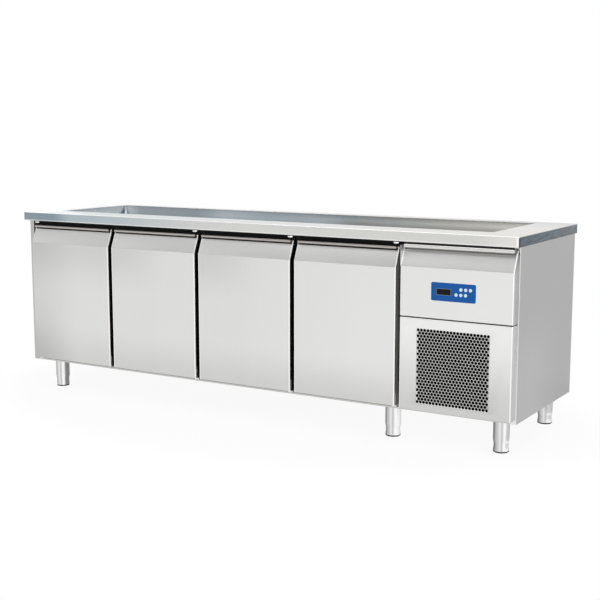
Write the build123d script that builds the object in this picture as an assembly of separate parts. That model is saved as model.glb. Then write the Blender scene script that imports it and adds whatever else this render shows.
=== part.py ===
from build123d import *
import math
import os

# Refrigerated buffet counter: folded worktop with a pan well, four insulated doors with a
# folded finger grip, and a service bay with a controller above a perforated grille.
# Millimetres; +X runs along the counter, the doors face -Y, +Z is up.
# The origin is on the floor under the middle of the overall box.

# Worktop
worktop_length = 2500.0
worktop_depth = 700.0
counter_height = 850.0
worktop_edge = 40.0
worktop_chamfer = 1.2
sheet = 1.5
hem = 3.0

# Cabinet shell
leg_height = 125.0
side_inset = 5.0
front_setback = 35.0
back_inset = 15.0
wall_foam = 48.0
frame_depth = 40.0
bottom_rail_height = 65.0
service_head_height = 40.0
service_sill_height = 30.0
panel_flange = 25.0
bend_radius = 3.0
partition_offset = 38.0
vent_count = 8
vent_pitch = 30.0
vent_height = 10.0
vent_margin = 109.0

# Pan well
well_left = 82.0
well_right = 163.0
well_front = 150.0
well_back = 40.0
well_depth = 120.0
well_flange = 14.0
well_foam = 28.5
foam_margin = 30.0
coil_tube = 10.0
coil_inset = 75.0
coil_corner = 40.0
drain_bore = 12.0
drain_wall = 3.0
drain_neck = 20.0
drain_flange = 36.0
drain_rim = 2.5
drain_nut_drop = 12.0
drain_tail = 50.0
drain_clearance = 0.4
drain_sides = 12

# Doors
door_count = 4
door_gap = 20.0
door_end_margin = 59.0
door_proud = 13.0
door_depth = 40.0
door_rise = 22.0
door_sheet = 1.2
door_radius = 3.0
door_overlap = 34.0
slant_height = 90.0
slant_recess = 38.0

# Finger grip along the top of the doors and of the control panel
finger_gap = 13.0
lip_height = 14.0
lip_slit = 7.0
lip_depth = 25.0
lip_nose_radius = 6.0
lip_inset = 2.0
upstand_depth = 35.0
channel_drop = 6.0
cheek = 8.0
hinge_corner = 28.0

# Hinges and seals
hinge_inset = 14.0
hinge_depth = 30.5
pin_radius = 4.0
pin_clearance = 0.06
pin_engagement = 26.0
pin_end_gap = 2.0
lug_width = 24.0
lug_chamfer = 7.0
lug_thickness = 6.0
lug_low_gap = 1.0
lug_high_gap = 3.0
gasket_inset = 16.0
gasket_width = 18.0
gasket_land = 8.0
gasket_clearance = 0.3
inner_pan = 6.0
inner_pan_gap = 3.0

# Service bay front
service_width = 470.0
side_reveal = 6.0
control_height = 280.0
service_seam = 4.0
grille_rise = 17.0
grille_margin = 76.0
hole_pitch = 38.0
hole_radius = 13.5

# Controller
plate_width = 185.0
plate_height = 72.0
plate_thickness = 2.0
plate_radius = 6.0
plate_drop = 172.0
plate_shift = -8.5
case_width = 168.0
case_height = 56.0
case_depth = 32.0
case_clearance = 0.5
display_width = 59.0
display_height = 23.0
display_shift = -39.5
display_clearance = 0.2
display_sink = 0.3
display_recess = 1.6
button_radius = 6.8
button_sides = 12
button_proud = 1.5
button_depth = 9.0
button_chamfer = 0.6
button_clearance = 0.5
button_travel = 1.2
button_pitch = 19.6
button_row = 21.0
button_first = 12.4
button_rise = 13.0

# Legs
leg_radius = 32.5
leg_sides = 16
leg_end_radius = 29.5
leg_taper_height = 12.0
leg_front = 40.0
leg_back = 97.0
leg_left = 145.0
leg_middle = 46.0
leg_right = 73.0
foot_height = 46.0
foot_rim_height = 5.0
foot_rim_radius = 30.0
foot_base_radius = 31.5
foot_waist_height = 21.0
foot_waist_radius = 28.5
foot_neck_radius = 27.5
foot_gap = 0.3
stem_radius = 10.0
stem_length = 62.0
stem_clearance = 0.4
stem_room = 6.0

# Shelves
shelf_rise = 250.0
shelf_clearance = 4.0
shelf_end_gap = 6.0
shelf_thickness = 6.0
shelf_frame = 12.0
slat_width = 14.0
slot_count = 7
support_width = 16.0
runner_ledge = 28.0
runner_lip = 14.0
runner_sheet = 2.0

# Fans
fan_sides = 12
fan_mouth_gap = 3.0
fan_front_gap = 18.0
fan_back_gap = 12.0
fan_blade = 2.5
fan_pitch = 34.0
shaft_end = 4.0
strap_sheet = 2.5
strap_clearance = 12.0

# Evaporator
evaporator_clearance = 36.0
evaporator_inset = 70.0
evaporator_rim = 6.0
evaporator_coil_depth = 110.0
evaporator_coil_gap = 10.0
evaporator_fin_pitch = 48.0
evaporator_fan_radius = 44.0
evaporator_fan_hub = 14.0
evaporator_fan_depth = 20.0
evaporator_fan_blades = 4
evaporator_motor_radius = 20.0
evaporator_motor_length = 40.0
evaporator_shaft = 3.0

# Condensing unit
tray_clearance = 33.0
tray_front = 4.0
tray_back = 60.0
tray_lip = 24.0
tray_sheet = 2.0
condenser_clearance = 63.0
condenser_inset = 12.0
condenser_height = 310.0
condenser_depth = 56.0
condenser_fin_pitch = 36.0
condenser_fan_radius = 112.0
condenser_fan_hub = 26.0
condenser_fan_depth = 32.0
condenser_fan_blades = 5
condenser_motor_radius = 34.0
condenser_motor_length = 60.0
condenser_shaft = 5.0
shroud_collar = 22.0
compressor_radius = 82.0
compressor_height = 190.0
compressor_plate = 4.0
compressor_foot = 9.0
compressor_lift = 14.0
compressor_shift = 60.0
compressor_gap = 25.0
pipe_radius = 5.0
pipe_inset = 20.0
pipe_reach = 40.0
pipe_rise = 40.0
suction_rise = 60.0

# Cable gland
gland_radius = 14.0
gland_bore = 5.0
gland_flange = 4.0
gland_length = 11.0
gland_inset = 90.0

# Derived positions
half_length = worktop_length / 2
front_reach = door_proud + plate_thickness + button_proud
y_edge_back = (worktop_depth + front_reach) / 2
y_edge_front = y_edge_back - worktop_depth
y_edge_mid = (y_edge_front + y_edge_back) / 2
y_face = y_edge_front - door_proud
y_front = y_edge_front + front_setback
y_back = y_edge_back - back_inset
y_frame = y_front + frame_depth
y_back_inner = y_back - sheet
x_side = half_length - side_inset
x_side_inner = x_side - sheet
z_base = leg_height
z_base_inner = leg_height + sheet
z_under = counter_height - sheet
z_skirt = counter_height - worktop_edge

well_x0 = -half_length + well_left
well_x1 = half_length - well_right
well_y0 = y_edge_front + well_front
well_y1 = y_edge_back - well_back
z_well = counter_height - well_depth
z_tub = z_well - sheet
z_coil = z_tub - coil_tube
z_ceiling = z_coil - well_foam

service_x1 = x_side - side_reveal
service_x0 = service_x1 - service_width
service_mid = (service_x0 + service_x1) / 2
x_doors_end = service_x0 - door_gap
x_partition = x_doors_end + partition_offset
door_pitch = (service_x0 + half_length - door_end_margin) / door_count
door_width = door_pitch - door_gap

door_bottom = leg_height + door_rise
door_back = y_face + door_depth
lip_top = z_skirt - finger_gap
lip_low = lip_top - lip_height
slant_top = lip_low - lip_slit
channel_floor = slant_top - channel_drop
door_bend = lip_top - slant_height
seal_gap = y_front - door_back
z_opening = z_base + bottom_rail_height
gasket_top = z_ceiling + gasket_width + gasket_land

x_in_left = -x_side_inner + wall_foam + sheet
x_in_right = x_partition - 2 * sheet - wall_foam
y_in_back = y_back_inner - wall_foam - sheet
z_in_floor = z_base_inner + wall_foam + sheet
z_in_ceiling = z_ceiling - sheet

control_low = lip_top - control_height
grille_low = leg_height + grille_rise
grille_high = control_low - service_seam
service_depth = y_front - y_face
plate_x = service_mid + plate_shift
plate_z = lip_top - plate_drop
plate_face = y_face - plate_thickness


def door_left(index):
    """Left edge of a door, counted from 0 at the left end."""
    return -half_length + door_end_margin + index * door_pitch


# Shape helpers
def slab(x0, x1, y0, y1, z0, z1):
    """Flat sheet or slab between its limits."""
    centre = Pos((x0 + x1) / 2, (y0 + y1) / 2, (z0 + z1) / 2)
    return centre * Box(x1 - x0, y1 - y0, z1 - z0)


def along_x(section, x0, x1):
    """Section drawn in (y, z), run from x0 to x1."""
    return extrude(Plane.YZ.offset(x0) * section, x1 - x0)


def along_y(section, y0, y1):
    """Section drawn in (x, z), run from y0 to y1."""
    return extrude(Plane.XZ.offset(-y1) * section, y1 - y0)


def along_z(section, z0, z1):
    """Section drawn in (x, y), run from z0 to z1."""
    return extrude(Plane.XY.offset(z0) * section, z1 - z0)


def strip(points, thickness, side):
    """Section of a sheet folded sharply along points, on one side of the path."""
    return make_face(offset(Polyline(*points), thickness, side=side))


def prism(sides, radius, z0, z1):
    """Upright many-sided bar on the Z axis."""
    return along_z(RegularPolygon(radius, sides), z0, z1)


def frustum(sides, low_radius, high_radius, z0, z1):
    """Many-sided bar on the Z axis that narrows upwards."""
    step = (low_radius - high_radius) * math.cos(math.pi / sides)
    angle = math.degrees(math.atan2(step, z1 - z0))
    return extrude(Plane.XY.offset(z0) * RegularPolygon(low_radius, sides), z1 - z0, taper=angle)


def bent_bar(points, radius):
    """Six-sided tube with mitred bends through points."""
    path = Polyline(*points)
    section = Plane(path @ 0, z_dir=path % 0) * RegularPolygon(radius, 6)
    return sweep(section, path=path, transition=Transition.RIGHT)


def group(solids):
    """Like pieces kept as one node."""
    return Compound(children=list(solids))


# Worktop and well
def make_worktop():
    """Folded top with hemmed skirts, welded from four strips round the well."""
    place = Pos(0, y_edge_mid)
    pan = along_z(place * Rectangle(worktop_length, worktop_depth), z_skirt, counter_height)
    pan = chamfer(pan.faces().sort_by(Axis.Z)[-1].edges(), worktop_chamfer)
    hollow = Rectangle(worktop_length - 2 * sheet, worktop_depth - 2 * sheet)
    mouth = Rectangle(worktop_length - 2 * (sheet + hem), worktop_depth - 2 * (sheet + hem))
    pan -= along_z(place * hollow, z_skirt + sheet, z_under)
    pan -= along_z(place * mouth, z_skirt, z_skirt + sheet)
    levels = (z_skirt, counter_height)
    return group([
        pan & slab(-half_length, well_x0, y_edge_front, y_edge_back, *levels),
        pan & slab(well_x1, half_length, y_edge_front, y_edge_back, *levels),
        pan & slab(well_x0, well_x1, y_edge_front, well_y0, *levels),
        pan & slab(well_x0, well_x1, well_y1, y_edge_back, *levels),
    ])


drain_place = Pos((x_partition + well_x1) / 2, (well_y0 + well_y1) / 2)


def make_well_tub():
    """Welded tub: a floor and four walls with a flange under the worktop."""
    floor = slab(well_x0 - sheet, well_x1 + sheet, well_y0 - sheet, well_y1 + sheet, z_tub, z_well)
    floor -= drain_place * prism(drain_sides, drain_neck + drain_clearance, z_tub, z_well)
    walls = [floor]
    for edge, side in ((well_y0, -1), (well_y1, 1)):
        path = [(edge, z_well), (edge, z_under), (edge + side * well_flange, z_under)]
        wall = strip(path, sheet, Side.LEFT if side < 0 else Side.RIGHT)
        walls.append(along_x(wall, well_x0 - sheet, well_x1 + sheet))
    for edge, side in ((well_x0, -1), (well_x1, 1)):
        path = [(edge, z_well), (edge, z_under), (edge + side * well_flange, z_under)]
        wall = strip(path, sheet, Side.LEFT if side < 0 else Side.RIGHT)
        walls.append(along_y(wall, well_y0, well_y1))
    return group(walls)


def make_well_drain():
    """Waste fitting with a flange on the floor, a neck and a tail."""
    z_nut = z_ceiling - drain_nut_drop
    z_end = z_nut - drain_tail
    body = prism(drain_sides, drain_flange, z_well, z_well + drain_rim)
    body += prism(drain_sides, drain_neck, z_nut, z_well)
    body += prism(drain_sides, drain_bore + drain_wall, z_end, z_nut)
    body -= prism(drain_sides, drain_bore, z_end, z_well + drain_rim)
    return drain_place * body


def make_well_coil():
    """Cooling tube in three passes under the floor of the tub."""
    z = z_tub - coil_tube / 2
    x0 = well_x0 + coil_inset
    x1 = x_partition - coil_inset
    low = well_y0 + coil_inset
    high = well_y1 - coil_inset
    mid = (low + high) / 2
    c = coil_corner
    return bent_bar([
        (x0, low, z), (x1 - c, low, z), (x1, low + c, z), (x1, mid - c, z), (x1 - c, mid, z),
        (x0 + c, mid, z), (x0, mid + c, z), (x0, high - c, z), (x0 + c, high, z), (x1, high, z),
    ], coil_tube / 2)


def make_well_insulation():
    """Foam block round the tub, with room for the cooling tube and the waste."""
    top = z_under - sheet
    block = slab(-x_side_inner, well_x1 + foam_margin, y_frame, y_back_inner, z_ceiling, top)
    block -= slab(well_x0 - sheet, well_x1 + sheet, well_y0 - sheet, well_y1 + sheet, z_coil, top)
    return block - drain_place * prism(drain_sides, drain_neck + drain_clearance, z_ceiling, z_coil)


# Cabinet shell
def make_side_panel():
    """Left end panel with a folded front flange."""
    points = [(-x_side + panel_flange, y_front), (-x_side, y_front), (-x_side, y_back)]
    path = FilletPolyline(*points, radius=bend_radius)
    return along_z(make_face(offset(path, sheet, side=Side.RIGHT)), z_base, z_under)


def make_back_panel():
    """Flat back with a row of slots behind the service bay."""
    panel = slab(-x_side_inner, x_side_inner, y_back_inner, y_back, z_base, z_under)
    width = x_side - x_partition - 2 * vent_margin
    middle = (x_partition + x_side) / 2
    slot = Rectangle(width, vent_height)
    slots = [Pos(middle, z_opening + vent_pitch * i) * slot for i in range(vent_count)]
    return panel - along_y(Sketch() + slots, y_back_inner, y_back)


def make_base_panel():
    """Floor sheet under the cabinet."""
    y0 = y_front + bend_radius
    return slab(-x_side_inner, x_side_inner, y0, y_back_inner, z_base, z_base_inner)


def rail(low, high, x0, x1):
    """Channel open to the back."""
    path = [(y_frame, low), (y_front, low), (y_front, high), (y_frame, high)]
    return along_x(strip(path, sheet, Side.RIGHT), x0, x1)


def make_top_rail():
    """Folded rail over the doors, lower over the service bay."""
    limit = x_side - panel_flange
    service = rail(z_skirt - service_head_height, z_under, x_partition, limit)
    return rail(z_ceiling, z_under, -limit, x_partition) + service


def make_bottom_rail():
    """Folded rail under the doors, lower under the service bay."""
    limit = x_side - panel_flange
    service = rail(z_base_inner, z_base_inner + service_sill_height, x_partition, limit)
    return rail(z_base_inner, z_opening, -limit, x_partition) + service


def make_front_posts():
    """Tubular posts between the rails: left stile, mullions and service post."""
    limits = [(-x_side + panel_flange, door_left(0) + door_overlap)]
    for index in range(1, door_count):
        edge = door_left(index)
        limits.append((edge - door_gap - door_overlap, edge + door_overlap))
    limits.append((x_doors_end - door_overlap, x_partition))
    posts = []
    for x0, x1 in limits:
        tube = Rectangle(x1 - x0, frame_depth)
        tube -= Rectangle(x1 - x0 - 2 * sheet, frame_depth - 2 * sheet)
        place = Pos((x0 + x1) / 2, (y_front + y_frame) / 2)
        posts.append(along_z(place * tube, z_opening, z_ceiling))
    return group(posts)


def make_wall_insulation():
    """Foam slabs: left, back, floor and partition."""
    left = x_in_left - sheet
    right = x_in_right + sheet
    back = y_in_back + sheet
    floor = z_in_floor - sheet
    part = x_partition - sheet
    return group([
        slab(-x_side_inner, left, y_frame, y_back_inner, z_base_inner, z_ceiling),
        slab(left, part, back, y_back_inner, z_base_inner, z_ceiling),
        slab(left, right, y_frame, back, z_base_inner, floor),
        slab(right, part, y_frame, back, z_base_inner, z_ceiling),
    ])


def make_liner():
    """Inner sheets of the cold chamber."""
    left = x_in_left
    right = x_in_right
    floor = z_in_floor - sheet
    return group([
        slab(left - sheet, left, y_frame, y_in_back + sheet, floor, z_ceiling),
        slab(right, right + sheet, y_frame, y_in_back + sheet, floor, z_ceiling),
        slab(left, right, y_in_back, y_in_back + sheet, floor, z_ceiling),
        slab(left, right, y_frame, y_in_back, floor, z_in_floor),
        slab(left, right, y_frame, y_in_back, z_in_ceiling, z_ceiling),
    ])


def make_partition_panel():
    """Sheet between the cold chamber and the service bay."""
    return slab(x_partition - sheet, x_partition, y_frame, y_back_inner, z_base_inner, z_ceiling)


# Shelves
def bay_limits(index):
    """Clear width between the shelf supports of one bay."""
    half = support_width / 2
    middle = door_left(index) - door_gap / 2
    x0 = x_in_left + half if index == 0 else middle + half
    x1 = middle + door_pitch - half
    if index == door_count - 1:
        x1 = x_in_right - half
    return x0, x1


bays = [bay_limits(i) for i in range(door_count)]
shelf_width = min(x1 - x0 for x0, x1 in bays) - 2 * (runner_sheet + shelf_clearance)
z_ledge = z_in_floor + shelf_rise


def make_shelf_supports():
    """Front and back uprights with an angled runner on each side of every bay."""
    half = support_width / 2
    columns = [x_in_left + half / 2]
    columns += [door_left(i) - door_gap / 2 for i in range(1, door_count)]
    columns.append(x_in_right - half / 2)
    solids = []
    for number, x in enumerate(columns):
        width = half if number in (0, door_count) else support_width
        for y0, y1 in ((y_frame, y_frame + half), (y_in_back - half, y_in_back)):
            solids.append(slab(x - width / 2, x + width / 2, y0, y1, z_in_floor, z_in_ceiling))
    for x0, x1 in bays:
        path = [(x0, z_ledge + runner_lip), (x0, z_ledge), (x0 + runner_ledge, z_ledge)]
        left = strip(path, runner_sheet, Side.LEFT)
        right = mirror(left, Plane.YZ.offset((x0 + x1) / 2))
        solids.append(along_y(left, y_frame, y_in_back))
        solids.append(along_y(right, y_frame, y_in_back))
    return group(solids)


def make_wire_shelves():
    """Slatted shelf with a frame, one per bay, lying on the runners."""
    y0 = y_frame + support_width / 2 + shelf_end_gap
    y1 = y_in_back - support_width / 2 - shelf_end_gap
    z_seat = z_ledge + runner_sheet
    pitch = (shelf_width - 2 * shelf_frame + slat_width) / slot_count
    outline = Rectangle(shelf_width, y1 - y0)
    for column in range(slot_count):
        x = (column - (slot_count - 1) / 2) * pitch
        outline -= Pos(x, 0) * Rectangle(pitch - slat_width, y1 - y0 - 2 * shelf_frame)
    shelves = []
    for x0, x1 in bays:
        place = Pos((x0 + x1) / 2, (y0 + y1) / 2)
        shelves.append(along_z(place * outline, z_seat, z_seat + shelf_thickness))
    return group(shelves)


# Fans and coils, for the evaporator and the condensing unit
def fin_block(x0, x1, y0, y1, z0, z1, pitch):
    """Finned coil: thin upright fins on a solid core, as one comb."""
    count = int((x1 - x0) // pitch)
    step = (x1 - x0) / count
    middle = (y0 + y1) / 2
    core = Pos((x0 + x1) / 2, middle) * Rectangle(x1 - x0, 0.3 * (y1 - y0))
    for index in range(count):
        x = x0 + (index + 0.5) * step
        core += Pos(x, middle) * Rectangle(0.4 * step, y1 - y0)
    return along_z(core, z0, z1)


def fan_reach(depth):
    """Distance from the plate that carries a fan to the strap of its motor."""
    return fan_front_gap + depth + fan_back_gap


def fan_motor(radius, length, shaft, depth, tip):
    """Motor on a bridge strap at y = 0; the shaft runs along -Y through the rotor."""
    reach = fan_reach(depth)
    span = tip + strap_clearance
    body = along_y(RegularPolygon(radius, fan_sides), 0, length)
    body += along_y(RegularPolygon(shaft, fan_sides), -fan_back_gap - depth - shaft_end, 0)
    path = [(-span, -reach), (-span, 0), (span, 0), (span, -reach)]
    strap = strip(path, strap_sheet, Side.LEFT)
    return body + along_z(strap, -radius / 2, radius / 2)


def fan_rotor(blades, hub, tip, depth, shaft):
    """Axial rotor about Y: a hub with pitched blades and a running bore."""
    slope = math.radians(fan_pitch)
    chord = 0.8 * depth / math.sin(slope)
    length = math.sqrt(tip**2 - (chord * math.cos(slope) / 2) ** 2)
    root = hub * math.cos(math.pi / fan_sides) - fan_blade
    seat = Plane((root, 0, 0), x_dir=(0, 1, 0), z_dir=(1, 0, 0))
    blade = extrude(seat * Rot(Z=90 - fan_pitch) * Rectangle(chord, fan_blade), length - root)
    rotor = along_y(RegularPolygon(hub, fan_sides), -depth / 2, depth / 2)
    for index in range(blades):
        rotor += Rot(Y=360 / blades * index) * blade
    return rotor - along_y(Circle(shaft + pin_clearance), -depth / 2, depth / 2)


# Evaporator under the ceiling of the last bay
evaporator_length = door_width - 2 * (door_overlap + evaporator_clearance)
evaporator_height = 2 * (evaporator_fan_radius + evaporator_rim)
evaporator_x = door_left(door_count - 1) + door_width / 2
evaporator_x0 = evaporator_x - evaporator_length / 2
evaporator_x1 = evaporator_x + evaporator_length / 2
evaporator_y0 = y_frame + evaporator_inset
evaporator_y1 = y_in_back - evaporator_inset
evaporator_low = z_in_ceiling - evaporator_height
evaporator_z = z_in_ceiling - evaporator_height / 2
evaporator_plate = evaporator_y0 + sheet
evaporator_strap = evaporator_plate + fan_reach(evaporator_fan_depth)


def make_evaporator_housing():
    """Cover open at the back, with the fan mouth in front."""
    x0 = evaporator_x0
    x1 = evaporator_x1
    low = evaporator_low
    shell = slab(x0, x1, evaporator_y0, evaporator_y1, low, z_in_ceiling)
    shell -= slab(x0 + sheet, x1 - sheet, evaporator_plate, evaporator_y1, low + sheet, z_in_ceiling)
    mouth = RegularPolygon(evaporator_fan_radius + fan_mouth_gap, 2 * fan_sides)
    return shell - along_y(Pos(evaporator_x, evaporator_z) * mouth, evaporator_y0, evaporator_plate)


def make_evaporator_coil():
    """Finned coil across the back of the cover, hung from the ceiling."""
    y1 = evaporator_y1 - evaporator_coil_gap
    return fin_block(
        evaporator_x0 + sheet, evaporator_x1 - sheet, y1 - evaporator_coil_depth, y1,
        evaporator_low + sheet, z_in_ceiling, evaporator_fin_pitch,
    )


def make_evaporator_motor():
    """Small fan motor strapped to the front of the cover."""
    motor = fan_motor(
        evaporator_motor_radius, evaporator_motor_length, evaporator_shaft,
        evaporator_fan_depth, evaporator_fan_radius,
    )
    return Pos(evaporator_x, evaporator_strap, evaporator_z) * motor


def make_evaporator_fan():
    """Rotor in the mouth of the cover."""
    rotor = fan_rotor(
        evaporator_fan_blades, evaporator_fan_hub, evaporator_fan_radius,
        evaporator_fan_depth, evaporator_shaft,
    )
    y = evaporator_strap - fan_back_gap - evaporator_fan_depth / 2
    return Pos(evaporator_x, y, evaporator_z) * rotor


# Condensing unit in the service bay
unit_x = (x_partition + x_side_inner) / 2
tray_x0 = x_partition + tray_clearance
tray_x1 = x_side_inner - tray_clearance
tray_y0 = y_frame + tray_front
tray_y1 = y_back_inner - tray_back
tray_top = z_base_inner + tray_sheet
condenser_x0 = x_partition + condenser_clearance
condenser_x1 = x_side_inner - condenser_clearance
condenser_y0 = y_frame + condenser_inset
condenser_y1 = condenser_y0 + condenser_depth
condenser_z = tray_top + condenser_height / 2
condenser_top = tray_top + condenser_height
shroud_y1 = condenser_y1 + sheet
condenser_strap = shroud_y1 + fan_reach(condenser_fan_depth)
compressor_x = unit_x + compressor_shift
compressor_y = tray_y1 - compressor_radius - compressor_gap
compressor_base = tray_top + compressor_lift


def make_unit_tray():
    """Slide-in tray with upturned sides."""
    top = z_base_inner + tray_lip
    path = [(tray_x0, top), (tray_x0, z_base_inner), (tray_x1, z_base_inner), (tray_x1, top)]
    return along_y(strip(path, tray_sheet, Side.LEFT), tray_y0, tray_y1)


def make_condenser_coil():
    """Finned condenser right behind the grille."""
    return fin_block(
        condenser_x0, condenser_x1, condenser_y0, condenser_y1,
        tray_top, condenser_top, condenser_fin_pitch,
    )


def make_condenser_shroud():
    """Plate on the back of the condenser with a collar round the fan."""
    plate = slab(condenser_x0, condenser_x1, condenser_y1, shroud_y1, tray_top, condenser_top)
    centre = Pos(unit_x, condenser_z)
    mouth = condenser_fan_radius + fan_mouth_gap
    ring = centre * RegularPolygon(mouth + sheet, 2 * fan_sides, major_radius=False)
    hole = centre * RegularPolygon(mouth, 2 * fan_sides, major_radius=False)
    plate += along_y(ring, condenser_y1, shroud_y1 + shroud_collar)
    return plate - along_y(hole, condenser_y1, shroud_y1 + shroud_collar)


def make_condenser_motor():
    """Fan motor on a strap fixed to the shroud."""
    motor = fan_motor(
        condenser_motor_radius, condenser_motor_length, condenser_shaft,
        condenser_fan_depth, condenser_fan_radius,
    )
    return Pos(unit_x, condenser_strap, condenser_z) * motor


def make_condenser_fan():
    """Rotor that draws air through the condenser."""
    rotor = fan_rotor(
        condenser_fan_blades, condenser_fan_hub, condenser_fan_radius,
        condenser_fan_depth, condenser_shaft,
    )
    y = condenser_strap - fan_back_gap - condenser_fan_depth / 2
    return Pos(unit_x, y, condenser_z) * rotor


def make_compressor():
    """Hermetic compressor: domed shell on a base plate with four feet."""
    r = compressor_radius
    h = compressor_height
    shell = prism(fan_sides, r, 0, 0.62 * h)
    shell += frustum(fan_sides, r, 0.9 * r, 0.62 * h, 0.84 * h)
    shell += frustum(fan_sides, 0.9 * r, 0.55 * r, 0.84 * h, h)
    base = along_z(Rectangle(2.1 * r, 2.1 * r), -compressor_plate, 0)
    foot = prism(8, compressor_foot, -compressor_lift, -compressor_plate)
    for x in (-0.85 * r, 0.85 * r):
        for y in (-0.85 * r, 0.85 * r):
            base += Pos(x, y) * foot
    return Pos(compressor_x, compressor_y, compressor_base) * (shell + base)


def make_refrigerant_pipes():
    """Discharge line to the condenser and suction line through the partition."""
    side = compressor_x - compressor_radius
    outlet = compressor_base + 0.3 * compressor_height
    inlet = compressor_base + 0.5 * compressor_height
    high = condenser_top + pipe_rise
    front = compressor_y - pipe_inset
    back = compressor_y + pipe_inset
    coil_x = condenser_x0 + pipe_inset
    coil_y = (condenser_y0 + condenser_y1) / 2
    discharge = bent_bar([
        (compressor_x, front, outlet), (side - pipe_reach, front, outlet),
        (side - pipe_reach, front, high), (coil_x, coil_y, high), (coil_x, coil_y, condenser_top),
    ], pipe_radius)
    suction = bent_bar([
        (compressor_x, back, inlet), (side - pipe_reach, back, inlet),
        (side - pipe_reach, back, high + suction_rise), (x_partition, back, high + suction_rise),
    ], pipe_radius)
    compressor = make_compressor()
    return group([discharge - compressor, suction - compressor])


# Doors and service panels: one folded front, upright or with a slanted top
def folded_front(width, low, high, depth, inset, slanted):
    """Sharp envelope of a folded front, pulled in by inset on all faces but the back."""
    half = width / 2 - inset
    face = y_face + inset
    back = y_face + depth
    floor = low + inset
    points = [(face, floor), (face, high - inset), (back, high - inset), (back, floor)]
    if slanted:
        angle = math.atan2(slant_recess, slant_height)
        bend = door_bend - inset * math.tan(angle / 2)
        top = y_face + slant_recess + inset / math.cos(angle)
        points = [(face, floor), (face, bend), (top, high), (back, high), (back, floor)]
    return along_x(make_face(Polyline(*points, close=True)), -half, half)


def rounded_front(width, low, high, depth, slanted):
    """Outside of a folded front with its visible edges rounded."""
    block = folded_front(width, low, high, depth, 0, slanted)
    levels = (low,) if slanted else (low, high)

    def is_rim(edge):
        """Front edges of both ends, and the front edges at the bottom or top."""
        c = edge.center()
        ends = abs(abs(c.X) - width / 2) < 0.01 and low + 0.01 < c.Z < high - 0.01
        sills = c.Y < y_face + 0.01 and any(abs(c.Z - z) < 0.01 for z in levels)
        return c.Y < y_face + depth - 0.01 and (ends or (abs(c.X) < 0.01 and sills))

    return fillet(block.edges().filter_by(is_rim), door_radius)


def grip_lip(x0, x1):
    """Round-nosed lip that overhangs the finger channel."""
    y1 = y_face + upstand_depth
    y0 = y1 - lip_depth
    section = make_face(Polyline(
        (y0, lip_low), (y0, lip_top), (y1, lip_top), (y1, lip_low), close=True
    ))
    nose = section.vertices().filter_by(lambda v: v.X < y0 + 0.01)
    return along_x(fillet(nose, lip_nose_radius), x0, x1)


axis_x = door_width / 2 - hinge_inset
axis_y = y_face + hinge_depth
slot_x0 = -door_width / 2 + cheek
slot_x1 = door_width / 2 - hinge_corner


def make_door_skin():
    """Outer pan of a door hinged on the right, open below the lip."""
    skin = rounded_front(door_width, door_bottom, lip_top, door_depth, True)
    skin -= folded_front(door_width, door_bottom, lip_top, door_depth, door_sheet, True)
    skin -= slab(-door_width / 2, door_width / 2, y_face, door_back, slant_top, lip_top)
    relief = Pos(axis_x, axis_y) * RegularPolygon(pin_radius, 8, major_radius=False)
    relief = offset(relief, door_sheet, kind=Kind.INTERSECTION)
    skin -= along_z(relief, door_bottom, door_bottom + door_sheet)
    return skin - along_z(relief, channel_floor - pin_engagement, lip_top)


def make_door_core():
    """Insulated inner part with finger channel, lip, inner pan and hinge bores."""
    core = folded_front(door_width, door_bottom, lip_top, door_depth, door_sheet, True)
    channel_back = y_face + upstand_depth
    core -= slab(slot_x0, slot_x1, y_face, channel_back, channel_floor, lip_top)
    core += grip_lip(-door_width / 2 + lip_inset, door_width / 2 - lip_inset)
    rim = gasket_inset + gasket_width + inner_pan_gap
    half = door_width / 2 - rim
    pan_high = gasket_top - gasket_width - inner_pan_gap
    core += slab(-half, half, door_back, door_back + inner_pan, door_bottom + rim, pan_high)
    bore = Pos(axis_x, axis_y) * Circle(pin_radius + pin_clearance)
    core -= along_z(bore, door_bottom, door_bottom + pin_engagement + pin_end_gap)
    return core - along_z(bore, channel_floor - pin_engagement - pin_end_gap, lip_top)


def make_door_gasket():
    """Seal ring on the back of the door, just clear of the frame."""
    low = door_bottom + gasket_inset
    width = door_width - 2 * gasket_inset
    height = gasket_top - low
    ring = Rectangle(width, height)
    ring -= Rectangle(width - 2 * gasket_width, height - 2 * gasket_width)
    place = Pos(0, low + height / 2)
    return along_y(place * ring, door_back, door_back + seal_gap - gasket_clearance)


def place_door(shape, index):
    """Door piece put in its bay; the first door is hinged on the left."""
    if index == 0:
        shape = mirror(shape, Plane.YZ)
    return Pos(door_left(index) + door_width / 2, 0, 0) * shape


def make_hinge_brackets():
    """Lugs on the rails with the pins on which the doors turn."""
    nose = axis_y - lug_width / 2
    outline = Pos(axis_x, (nose + y_front) / 2) * Rectangle(lug_width, y_front - nose)
    outline = chamfer(outline.vertices().group_by(Axis.Y)[0], lug_chamfer)
    pin = Pos(axis_x, axis_y) * Circle(pin_radius)
    low = door_bottom - lug_low_gap
    lower = along_z(outline, low - lug_thickness, low)
    lower += along_z(pin, low, door_bottom + pin_engagement)
    high = lip_top + lug_high_gap
    upper = along_z(outline, high, high + lug_thickness)
    upper += along_z(pin, channel_floor - pin_engagement, high)
    lugs = []
    for index in range(door_count):
        lugs.append(place_door(lower, index))
        lugs.append(place_door(upper, index))
    return group(lugs)


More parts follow.
